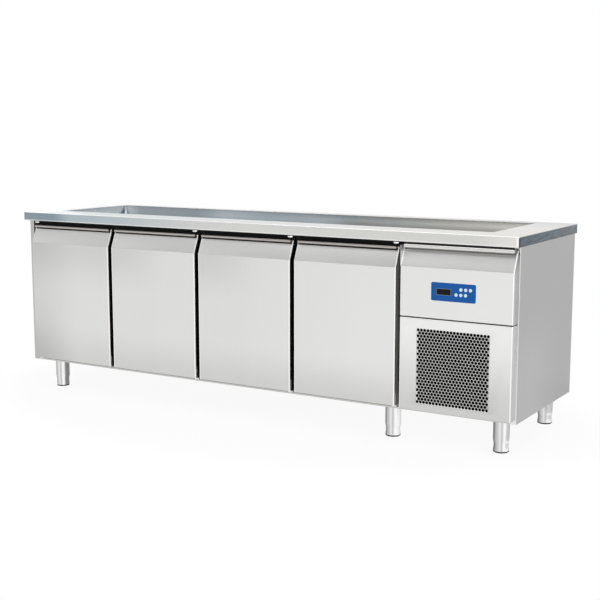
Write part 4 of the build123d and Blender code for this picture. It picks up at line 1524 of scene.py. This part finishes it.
@dataclass
class Door:
    """One insulated door: steel front, dark edge profile that is partly painted shade, grip lip, inner pan
    and seal.

    Attributes:
        number: Place of the door, from the left.
        margin: Distance of the foamed body from both sides.
        pan_steps: Inset and rise along the pressed inner pan.
        seal_steps: Inset, end of the seal's depth (0 or 1) and offset from it, along the seal's section.
        seal_pull: Share of the inset that the seal's corner radius loses.
    """

    number: int
    hinge_cheek: float = 0.026
    free_cheek: float = 0.008
    sheet: float = 0.001
    margin: float = 0.0006
    pan_inset: float = 0.021
    pan_corner: float = 0.022
    pan_least: float = 0.004
    pan_steps: Steps = ((0.0, 0.0), (0.0, 0.003), (0.0012, 0.0045), (0.003, 0.0048), (0.030, 0.0048),
                        (0.033, 0.0042), (0.036, 0.0022), (0.040, 0.0016))
    seal_corner: float = 0.020
    seal_pull: float = 0.8
    seal_steps: Steps = ((0.0, 0, 0.0), (0.001, 0, 0.0022), (0.0002, 0, 0.0040), (0.0010, 1, -0.0008),
                         (0.003, 1, 0.0), (0.012, 1, 0.0), (0.0145, 1, -0.0010), (0.0135, 0, 0.0040),
                         (0.0160, 0, 0.0026), (0.018, 0, 0.0010), (0.018, 0, 0.0))

    def __post_init__(self) -> None:
        """Reads the place of the door from the frame."""
        self.body = f"door_{self.number}"
        self.low, self.high = limits(f"{self.body}_skin")
        self.high[2] = limits(f"{self.body}_core")[1][2]
        cheeks = (self.hinge_cheek, self.free_cheek)
        self.front = FoldedFront(self.low, self.high, cheeks if self.number == 1 else cheeks[::-1])

    def add(self, shell: Shell, piece: str, finish: Finish, slot: str, node: str = "",
            **looks: float | Triple) -> None:
        """Puts one piece of the door; its name and its CAD node's name begin with the door's."""
        stands_for = f"{self.body}_{node}" if node else ""
        put(shell, f"{self.body}_{piece}", finish, slot, stands_for, self.body, **looks)

    def build_front(self) -> None:
        """Outer sheet and the lip of the grip."""
        self.add(self.front.sheet(), "front_sheet", STEEL_DOOR, "steel_door", "skin", wall=self.sheet,
                 facing=FORWARD)
        self.add(self.front.lip(), "grip_lip", STEEL_LIP, "steel_door")
        self.add(self.front.gussets(), "grip_ends", STEEL_DOOR, "steel_door")

    def build_body(self) -> None:
        """Foamed body with its edge profile: the outline below the grip, then the grip's inside, dark as
        painted shade.
        """
        front, back, foot = self.front, self.high[1], self.low[2] + self.front.clear
        y, floor = self.low[1] + front.clear, self.high[2] - front.channel
        outline = [(y, foot), (y, self.high[2] - front.slant_height),
                   (front.slant(floor) + front.clear, floor), (back, floor), (back, foot)]
        solid = Shell.prism(outline, self.low[0] + self.margin, self.high[0] - self.margin, Axis.X)
        # Black edge profile partly as painted shade in the gaps; door 4's has painted light on its right
        # side, in the lit gap.
        edge = EDGE_LIT if self.number == 4 else EDGE_BLACK
        self.add(solid, "edge_profile", edge, "door_core", "core")
        self.add(front.trough(back, self.margin), "grip_channel", EDGE_BLACK, "door_core")

    def build_inside(self) -> None:
        """Pressed inner pan and magnetic seal: rounded outlines that step in as they rise."""
        low, high = limits(f"{self.body}_gasket")
        pan = nested(low[FRONT] + self.pan_inset, high[FRONT] - self.pan_inset, self.pan_corner,
                     self.pan_steps + np.array((0.0, self.high[1])), Axis.Y, self.pan_least)
        self.add(Shell.loft(pan), "inner_pan", STEEL_LINER, "door_core")
        section = [(inset, (low, high)[end][1] + offset) for inset, end, offset in self.seal_steps]
        seal = nested(low[FRONT], high[FRONT], self.seal_corner, section, Axis.Y, pull=self.seal_pull)
        self.add(Shell.loft(seal, closed=True), "seal", SEAL, "seal_rubber", "gasket", crease=50)

    def build(self) -> None:
        """Builds all pieces of the door."""
        self.build_front()
        self.build_body()
        self.build_inside()


@dataclass
class ServiceFront:
    """Front of the service bay: control panel with a grip, and the perforated grille below it.

    Attributes:
        hole: Radius of the holes.
        field_low: Middle of the lowest hole at the left, as (x, z).
        returns: Depth of the panels' folded returns.
        cheek: Distance of the panel's left cheek from its side, and thickness of the cheek.
        pleat: Width of a fold of the filter, and its depth and thickness.
    """

    columns: int = 22
    rows: int = 25
    pitch: float = 0.01393
    row_pitch: float = 0.01202
    hole: float = 0.0062
    field_low: Pair = (0.850, 0.1785)
    sheet: float = 0.0015
    thin: float = 0.0008
    returns: float = 0.044
    cheek: Pair = (0.0002, 0.0015)
    cheek_bevel: float = 0.0004
    channel_margin: float = 0.002
    filter_gap: float = 0.0045
    filter_margin: float = 0.004
    pleat: Triple = (0.011, 0.0025, 0.003)

    def build_control_panel(self) -> None:
        """Slanted panel with its lip and the inside of its grip, darker steel as painted shade."""
        low, high = limits("control_panel")
        front = FoldedFront(low, high, (0.0015, 0.0015), reach=self.returns, lip_raise=0.005,
                            lip_height=0.010, lip_front=0.010, slant_drop=0.017, slant_height=0.081,
                            gusset_depth=0.0095)
        put(front.sheet(back=high[1]), "control_panel_sheet", STEEL_PANEL, "steel_body", "control_panel",
            wall=self.sheet, facing=FORWARD)
        put(front.lip(), "control_panel_lip", STEEL_PANEL_LIP, "steel_body")
        put(front.gussets(), "control_panel_lip_ends", STEEL_PANEL, "steel_body")
        put(front.trough(high[1], self.channel_margin), "control_panel_channel", STEEL_CHANNEL, "steel_body")
        left = low[0] + self.cheek[0]
        cheek = Shell.box((left, low[1], high[2] - front.slant_height), (left + self.cheek[1], *high[1:]))
        put(cheek, "control_panel_cheek", STEEL_PANEL, "steel_body", bevel=self.cheek_bevel)

    def peak(self) -> float:
        """Height of a cell's upper corner over its middle: as far from two holes as from the third."""
        return ((self.pitch / 2) ** 2 + self.row_pitch ** 2) / (2 * self.row_pitch)

    def field(self) -> tuple[np.ndarray, np.ndarray]:
        """Extent of the perforated field.

        Returns:
            Lowest and highest corner, as (x, z).
        """
        half = np.array((self.pitch / 2, self.peak()))
        first = np.array(self.field_low)
        last = first + np.array((self.columns - 1, self.rows - 1)) * (self.pitch, self.row_pitch)
        return first - half, last + half

    def cell(self) -> np.ndarray:
        """Outline of a six-sided cell: its corners, with two points on every side.

        Returns:
            Array of 18 points by 2.
        """
        w, peak = self.pitch / 2, self.peak()
        flank = self.row_pitch - peak
        corner = np.array(((w, -flank), (w, flank), (0, peak), (-w, flank), (-w, -flank), (0, -peak)))
        share = np.array((0, 1 / 3, 2 / 3))[None, :, None]
        return (corner[:, None] * (1 - share) + np.roll(corner, -1, axis=0)[:, None] * share).reshape(-1, 2)

    def holes(self, y: float) -> Shell:
        """Round holes in staggered rows.

        Every hole has a six-sided cell, and its circle has a point in the direction of every point of
        the cell's outline. Odd rows are moved by half a pitch and have one hole less. The cells of the
        first and last row are squared at the border.

        Args:
            y: Plane of the sheet's face.

        Returns:
            The open sheet of all cells.
        """
        w, peak = self.pitch / 2, self.peak()
        row, column = np.divmod(np.arange(self.rows * self.columns), self.columns)
        there = column < self.columns - row % 2
        row, column = row[there], column[there]
        centre = np.stack((column + 0.5 * (row % 2), row), axis=-1) * (self.pitch, self.row_pitch)
        edge = self.cell()
        rim = edge * (self.hole / np.linalg.norm(edge, axis=1))[:, None]
        cells = np.repeat(edge[None], len(centre), axis=0)
        upper = np.array(((w, peak), (w / 2, peak), (0, peak), (-w / 2, peak), (-w, peak)))
        cells[row == self.rows - 1, 4:9] = upper
        cells[row == 0, 13:18] = -upper
        flat = np.stack((cells, np.broadcast_to(rim, cells.shape)), axis=1)
        return Shell.sleeves(raised(flat + (centre + self.field_low)[:, None, None, :], y, Axis.Y))

    def half_cells(self, y: float) -> Shell:
        """Plain half cells that close the odd rows at both sides.

        Args:
            y: Plane of the sheet's face.

        Returns:
            The half cells.
        """
        w, peak, step = self.pitch / 2, self.peak(), self.row_pitch
        low, high = self.field()
        base = self.field_low[1] + np.arange(0, self.rows - 1, 2)[:, None] * step
        levels = base + (step - peak, peak, 2 * step - peak, 2 * step - (step - peak))
        inwards = np.array((0, w, w, 0))
        sides = np.stack((low[0] + inwards, high[0] - inwards))[:, None, :]
        points = spots(sides, y, levels)
        return Shell(points.reshape(-1, 3), [np.arange(points.size // 3).reshape(-1, 4)])

    def build_grille(self) -> None:
        """Upright panel with the perforated field set flush into its face."""
        low, high = limits("grille_panel")
        field_low, field_high = self.field()
        opening = (field_low[0], field_high[0], field_low[1], field_high[1])
        front = FoldedFront(low, high, reach=self.returns, slanted=False)
        put(front.sheet(opening, high[1]), "grille_panel_sheet", STEEL_GRILLE_PANEL, "steel_body",
            "grille_panel", wall=self.sheet, facing=FORWARD)
        put(self.holes(low[1]) + self.half_cells(low[1]), "grille_perforation", STEEL_GRILLE, "steel_body",
            wall=self.thin, facing=FORWARD, cut=HOLE_WALL)

    def build_filter(self) -> None:
        """Dust filter behind the holes, black as painted shade: a closed mat with upright folds, depth a
        zigzag of x.
        """
        low, high = self.field()
        low, high = low - self.filter_margin, high + self.filter_margin
        width, depth, thick = self.pleat
        x = np.arange(low[0], high[0], width / 2)
        y = limits("grille_panel")[0][1] + self.filter_gap + depth * (np.arange(len(x)) % 2)
        outline = np.vstack((np.stack((x, y), axis=-1), np.stack((x, y + thick), axis=-1)[::-1]))
        put(Shell.prism(outline, low[1], high[1], Axis.Z), "grille_filter_mat", FILTER, "fan_black")

    def build(self) -> None:
        """Builds both panels and the filter."""
        self.build_control_panel()
        self.build_grille()
        self.build_filter()


@dataclass
class Controller:
    """Front plate with display and keys.

    Attributes:
        proud: How far the display stands in front of the plate.
        display_bevel: Width and depth of the bevel round the display.
        key_steps: Share of the radius and depth behind the middle, along a key's domed cap.
    """

    corner: float = 0.006
    bevel: float = 0.0006
    proud: float = 0.0004
    display_corner: float = 0.0015
    display_bevel: Pair = (0.0005, 0.0003)
    keys: int = 6
    key_radius: float = 0.0068
    key_sides: int = 32
    key_steps: Steps = ((1.0, 0.0009), (0.93, 0.0004), (0.8, 0.00015), (0.4, 0.00002), (0.05, 0.0))

    def build_plate(self) -> None:
        """Rounded plate: outlines from the panel to the face, the last one pulled in for a bevel."""
        low, high = limits("controller")
        steps = ((0.0, limits("control_panel")[0][1]), (0.0, low[1] + self.bevel), (self.bevel, low[1]))
        put(Shell.loft(nested(low[FRONT], high[FRONT], self.corner, steps, Axis.Y)), "controller_plate",
            FOIL, "controller_blue", "controller")

    def build_display(self) -> None:
        """Dark window standing a little proud of the plate, with a bevelled edge."""
        low, high = limits("controller_display")
        face = limits("controller")[0][1] - self.proud
        width, depth = self.display_bevel
        steps = ((0.0, high[1]), (0.0, face + depth), (width, face))
        put(Shell.loft(nested(low[FRONT], high[FRONT], self.display_corner, steps, Axis.Y)),
            "display_pane", WINDOW, "display_black", "controller_display")

    def build_keys(self) -> None:
        """Turned keys with a slightly domed cap."""
        r = self.key_radius
        for number in range(1, self.keys + 1):
            name = f"button_{number}"
            low, high = limits(name)
            cap = [(share * r, low[1] + depth) for share, depth in self.key_steps]
            centre = (low + high) / 2 * (1, 0, 1)
            put(Shell.turned([(r, high[1]), *cap], centre, Axis.Y, self.key_sides), f"key_{number}_cap",
                KEY, "key_light", name, name)

    def build(self) -> None:
        """Builds plate, display and keys."""
        self.build_plate()
        self.build_display()
        self.build_keys()


@dataclass
class Legs:
    """Polished leg tubes and their adjustable feet.

    Attributes:
        tube_steps: Radius and height along a tube, from the stem's bore round the lower end to the shoulder.
        foot_steps: Radius, sharpness and height along a foot, from its octagonal base to its stem.
        rim_steps: The same along the rubber rim under a foot.
        turn: Angle in degrees from the counter's right to the leg's side that "across" calls 1, which sets
            where the painted reflection streaks lie.
    """

    count: int = 6
    turn: float = 26.0
    tube_sides: int = 56
    foot_sides: int = 64
    tube_steps: Steps = ((0.0106, 0.0475), (0.0297, 0.0475), (0.0297, 0.0398), (0.0300, 0.0395),
                         (0.0304, 0.0401), (0.0310, 0.0445), (0.0319, 0.0480), (0.0325, 0.0510))
    foot_steps: Steps = ((0.0308, 1.0, 0.0056), (0.0313, 1.0, 0.0066), (0.0313, 0.9, 0.0100),
                         (0.0307, 0.35, 0.0140), (0.0297, 0.0, 0.0205), (0.0293, 0.0, 0.0275),
                         (0.0292, 0.0, 0.0440), (0.0282, 0.0, 0.0455), (0.0096, 0.0, 0.0456),
                         (0.0096, 0.0, 0.1070))
    rim_steps: Steps = ((0.0290, 1.0, 0.0), (0.0310, 1.0, 0.0012), (0.0310, 1.0, 0.0057),
                        (0.02, 1.0, 0.0058))

    def centre(self, number: int) -> np.ndarray:
        """Point on the floor under the middle of a leg."""
        low, high = limits(f"foot_{number}")
        return (low + high) / 2 * (1, 1, 0)

    def across(self, shell: Shell, centre: np.ndarray) -> np.ndarray:
        """Sine of every point's angle round the leg: its direction from the middle along the turned axis.

        Args:
            shell: The leg's surface.
            centre: Middle of the leg.

        Returns:
            One value per point, from -1 to 1.
        """
        away = (shell.points - centre)[:, :2]
        angle = math.radians(self.turn)
        length = np.maximum(np.linalg.norm(away, axis=1), TOUCH)
        return away @ (math.cos(angle), math.sin(angle)) / length

    def build_tubes(self) -> None:
        """Tubes turned from one profile, with a rolled-in lower end round the neck of the foot."""
        top = limits("leg_tubes")[1][2]
        profile = [*self.tube_steps, (self.tube_steps[-1][0], top), (self.tube_steps[0][0], top)]
        centres = [self.centre(number) for number in range(1, self.count + 1)]
        tubes = [Shell.turned(profile, centre, Axis.Z, self.tube_sides, closed=True) for centre in centres]
        marks = [self.across(tube, centre) for tube, centre in zip(tubes, centres)]
        put(sum(tubes[1:], tubes[0]), "leg_tube_set", POLISHED, "leg_chrome", "leg_tubes", crease=50,
            across=np.concatenate(marks))

    def stack(self, steps: Steps, centre: np.ndarray) -> Shell:
        """Outlines between a circle and an octagon, joined in order.

        The octagon's radius is its inner radius over cos of the angle to the nearest flat's middle.

        Args:
            steps: Radius, sharpness (0 for a circle, 1 for an octagon) and height of every outline.
            centre: Middle of the foot.

        Returns:
            The closed shape.
        """
        radius, sharp, height = np.array(steps).T[:, :, None]
        half = np.pi / 8
        angle = np.linspace(0, 2 * np.pi, self.foot_sides, endpoint=False)
        octagon = radius * math.cos(half) / np.cos((angle + half) % (2 * half) - half)
        reach = radius + (octagon - radius) * sharp
        return Shell.loft(raised(reach[..., None] * circle(self.foot_sides) + centre[:2], height, Axis.Z))

    def build_feet(self) -> None:
        """Feet from an octagonal base to a round neck and stem, on a rubber rim."""
        for number in range(1, self.count + 1):
            name, centre = f"foot_{number}", self.centre(number)
            base = self.stack(self.foot_steps, centre)
            put(base, f"{name}_screw_base", POLISHED, "leg_chrome", name, name,
                across=self.across(base, centre))
            rim = self.stack(self.rim_steps, centre)
            put(rim, f"{name}_rubber_rim", FOOT_RUBBER, "leg_chrome", body=name)

    def build(self) -> None:
        """Builds tubes and feet."""
        self.build_tubes()
        self.build_feet()


@dataclass
class Shelves:
    """Wire shelves of the cold chamber."""

    centres: tuple[float, ...] = (-0.9525, -0.466, 0.024, 0.5025)
    width: float = 0.439
    wires: int = 19
    wire_inset: float = 0.02
    wire_sides: int = 6
    wire_rod: float = 0.0017
    frame_sides: int = 10
    frame_rod: float = 0.003
    frame_drop: float = 0.0004

    def shelf(self, centre: float) -> Shell:
        """One shelf: wires from front to back on four cross rods and two side rods.

        Args:
            centre: Its middle along the counter.

        Returns:
            All rods.
        """
        low, high = limits("wire_shelves")
        rod, z = self.frame_rod, high[2] - self.frame_rod
        x0, x1 = centre - self.width / 2, centre + self.width / 2
        y0, y1 = low[1] + rod, high[1] - rod
        wires = np.linspace(x0 + self.wire_inset, x1 - self.wire_inset, self.wires)
        sides = np.array((x0 + rod, x1 - rod))
        cross = np.array((y0, y0 + (y1 - y0) / 3, y0 + 2 * (y1 - y0) / 3, y1))
        top, under = z + rod - self.wire_rod, z - self.frame_drop
        return (Shell.rods(spots(wires, y0, top), spots(wires, y1, top), self.wire_rod, Axis.Y,
                           self.wire_sides)
                + Shell.rods(spots(x0, cross, under), spots(x1, cross, under), rod, Axis.X, self.frame_sides)
                + Shell.rods(spots(sides, y0, under), spots(sides, y1, under), rod, Axis.Y, self.frame_sides))

    def build(self) -> None:
        """Builds all shelves as one set."""
        shelves = [self.shelf(centre) for centre in self.centres]
        put(sum(shelves[1:], shelves[0]), "wire_shelf_set", STEEL_SHELF, "steel_shelf", "wire_shelves")


@dataclass
class Cabinet:
    """Shell of the cabinet, its cold chamber and its machinery, kept from the CAD model.

    Attributes:
        rows: Finishes, each with its nodes.
    """

    rows: tuple[tuple[Finish | str, ...], ...] = (
        (STEEL_LEFT, "side_panel_left"),
        (STEEL_RIGHT, "side_panel_right"),
        (STEEL_BODY, "back_panel", "base_panel", "partition_panel"),
        (FRAME_BLACK, "top_rail", "front_posts"),
        (STEEL_SILL, "bottom_rail"),
        (STEEL_HINGE, "hinge_brackets"),
        (STEEL_LINER, "liner"),
        (STEEL_SHELF, "shelf_supports"),
        (FOAM, "wall_insulation", "well_insulation"),
        (COPPER, "well_coil", "refrigerant_pipes"),
        (ZINC, "unit_tray", "condenser_shroud"),
        (FINS, "condenser_coil"),
        (COLD_FINS, "evaporator_coil"),
        (COVER, "evaporator_housing"),
        (MOTOR, "condenser_motor", "evaporator_motor"),
        (FAN, "condenser_fan", "evaporator_fan"),
        (SHELL_PAINT, "compressor"),
        (GLAND, "cable_gland"),
    )

    def build(self) -> None:
        """Dresses every node that stays as it is."""
        for finish, *nodes in self.rows:
            dress(finish, *nodes)


@dataclass
class Studio:
    """Pale floor, white surround, soft lamps and the camera.

    Attributes:
        ambient: Strength of the surround as light.
        floor_reach: Half the side of the floor.
        floor_squeeze: Scale of x in the distance from the counter's middle.
        floor_fade: Distances between which the floor turns from lit to white.
        floor_glow: Share of white in the floor near the counter.
        lamps: Name, place, aim, width and height, and brightness of every lamp.
        cards: Name, brightness and corners of every card that shows only in reflections.
    """

    eye: Triple = (2.7214, -4.37965, 1.2563)
    yaw: float = 30.934
    pitch: float = 8.643
    lens: float = 68.53
    sensor: float = 36.0
    far: float = 100.0
    ambient: float = 0.80
    floor_reach: float = 30.0
    floor_squeeze: float = 0.62
    floor_fade: Pair = (0.8, 1.7)
    floor_glow: float = 0.9
    lamps: tuple[tuple, ...] = (
        ("right_strip", (4.2, -2.6, 1.6), (0.6, 0.0, 0.5), (1.2, 2.6), 1.7),
        ("left_strip", (-3.6, 1.8, 1.5), (-0.6, 0.0, 0.5), (1.2, 2.6), 0.25),
        ("overhead", (0.3, -1.4, 3.6), (0.2, 0.0, 0.6), (4.0, 2.0), 0.9),
    )
    cards: tuple[tuple, ...] = (
        ("side_card", 0.60, ((1.45, 1.2, -0.2), (5.5, 2.6, -0.2), (5.5, 2.6, 2.6), (1.45, 1.2, 2.6))),
        ("low_card", 0.60, ((0.6, 0.9, -0.2), (1.45, 1.2, -0.2), (1.45, 1.2, 0.8), (0.6, 0.9, 0.8))),
        ("side_floor", 0.56,
         ((1.27, -0.3, 0.003), (5.0, -0.3, 0.003), (5.0, 2.4, 0.003), (1.27, 1.1, 0.003))),
        ("left_card", 0.60, ((-6.0, -3.0, 1.5), (-2.0, -3.0, 1.5), (-2.0, -4.2, 5.0), (-6.0, -4.2, 5.0))),
        ("front_card", 0.42, ((-2.0, -3.0, 1.5), (3.0, -3.0, 1.5), (3.0, -4.2, 5.0), (-2.0, -4.2, 5.0))),
    )

    def build_camera(self) -> None:
        """Camera at the viewing angle of the photograph."""
        data = bpy.data.cameras.new("camera")
        data.lens = self.lens
        data.sensor_width = self.sensor
        data.clip_end = self.far
        camera = add_object("camera", data)
        camera.location = self.eye
        camera.rotation_euler = (math.radians(90 - self.pitch), 0.0, math.radians(self.yaw))
        bpy.context.scene.camera = camera

    def build_surround(self) -> None:
        """World: white to the eye and in reflections, softer as light."""
        paint = Paint("surround", world=True)
        eye, glossy, through = paint.rays()
        soft = paint.node("ShaderNodeBackground", inputs={"Color": WHITE, "Strength": self.ambient})
        white = paint.node("ShaderNodeBackground", inputs={"Color": WHITE})
        seen = (eye + glossy + through).smaller(1.0)
        paint.show(paint.node("ShaderNodeMixShader", inputs={0: seen, 1: soft, 2: white}))
        bpy.context.scene.world = paint.owner

    def plane(self, name: str, corners: Steps, paint: Paint) -> bpy.types.Object:
        """A flat four-cornered piece of the stage.

        Args:
            name: Its name.
            corners: Its corners in order.
            paint: Tree of its material.

        Returns:
            Its object.
        """
        mesh = bpy.data.meshes.new(name)
        mesh.from_pydata(corners, [], [(0, 1, 2, 3)])
        mesh.materials.append(paint.owner)
        sheet = add_object(name, mesh)
        return sheet

    def build_floor(self) -> None:
        """Pale floor that keeps a light shadow near the counter and fades to white further out."""
        paint = Paint("pale_floor")
        x, y, _ = paint.parts()
        away = ((x * self.floor_squeeze) ** 2.0 + y ** 2.0) ** 0.5
        eye, glossy, through = paint.rays()
        least = (eye + glossy) * self.floor_glow
        share = (least + away.rise(*self.floor_fade)).smaller(1.0) * (eye + glossy + through).smaller(1.0)
        glow = paint.node("ShaderNodeEmission", inputs={"Color": WHITE})
        paint.set(base_color=tone(247), roughness=0.9, specular_ior_level=0.1)
        paint.show(paint.node("ShaderNodeMixShader", inputs={0: share, 1: paint.surface, 2: glow}))
        r = self.floor_reach
        self.plane("floor", ((-r, -r, 0.0), (r, -r, 0.0), (r, r, 0.0), (-r, r, 0.0)), paint)

    def lamp(self, name: str, place: Triple, aim: Triple, size: Pair, level: float) -> None:
        """A soft rectangular lamp.

        Args:
            name: Name of the lamp.
            place: Its centre.
            aim: The point that it faces.
            size: Width and height.
            level: Brightness of its face, where 1 is white.
        """
        data = bpy.data.lights.new(name, "AREA")
        data.shape = "RECTANGLE"
        data.size, data.size_y = size
        data.energy = level * math.pi * size[0] * size[1]
        lamp = add_object(name, data)
        lamp.location = place
        away = np.asarray(place) - np.asarray(aim)
        flat = math.hypot(away[0], away[1])
        lamp.rotation_euler = (math.atan2(flat, away[2]), 0.0, math.atan2(away[0], -away[1]))

    def card(self, name: str, grey: float, corners: Steps) -> None:
        """A grey card that shows only in reflections.

        Args:
            name: Name of the card.
            grey: Its brightness, where 1 is white.
            corners: Its four corners in order.
        """
        paint = Paint(name)
        paint.show(paint.node("ShaderNodeEmission", inputs={"Color": (grey, grey, grey)}))
        card = self.plane(name, corners, paint)
        card.visible_camera = False
        card.visible_diffuse = False
        card.visible_shadow = False
        card.visible_transmission = False

    def build(self) -> None:
        """Sets up camera, surround, floor, lamps and cards."""
        self.build_camera()
        self.build_surround()
        self.build_floor()
        for lamp in self.lamps:
            self.lamp(*lamp)
        for card in self.cards:
            self.card(*card)


def main() -> None:
    """Builds the studio and every sub-assembly in order."""
    logging.basicConfig(level=logging.INFO, format="%(message)s")
    bpy.context.scene.view_settings.view_transform = "Standard"
    Studio().build()
    Cabinet().build()
    Worktop().build()
    for number in range(1, 5):
        Door(number).build()
    ServiceFront().build()
    Controller().build()
    Legs().build()
    Shelves().build()


if __name__ == "__main__":
    main()
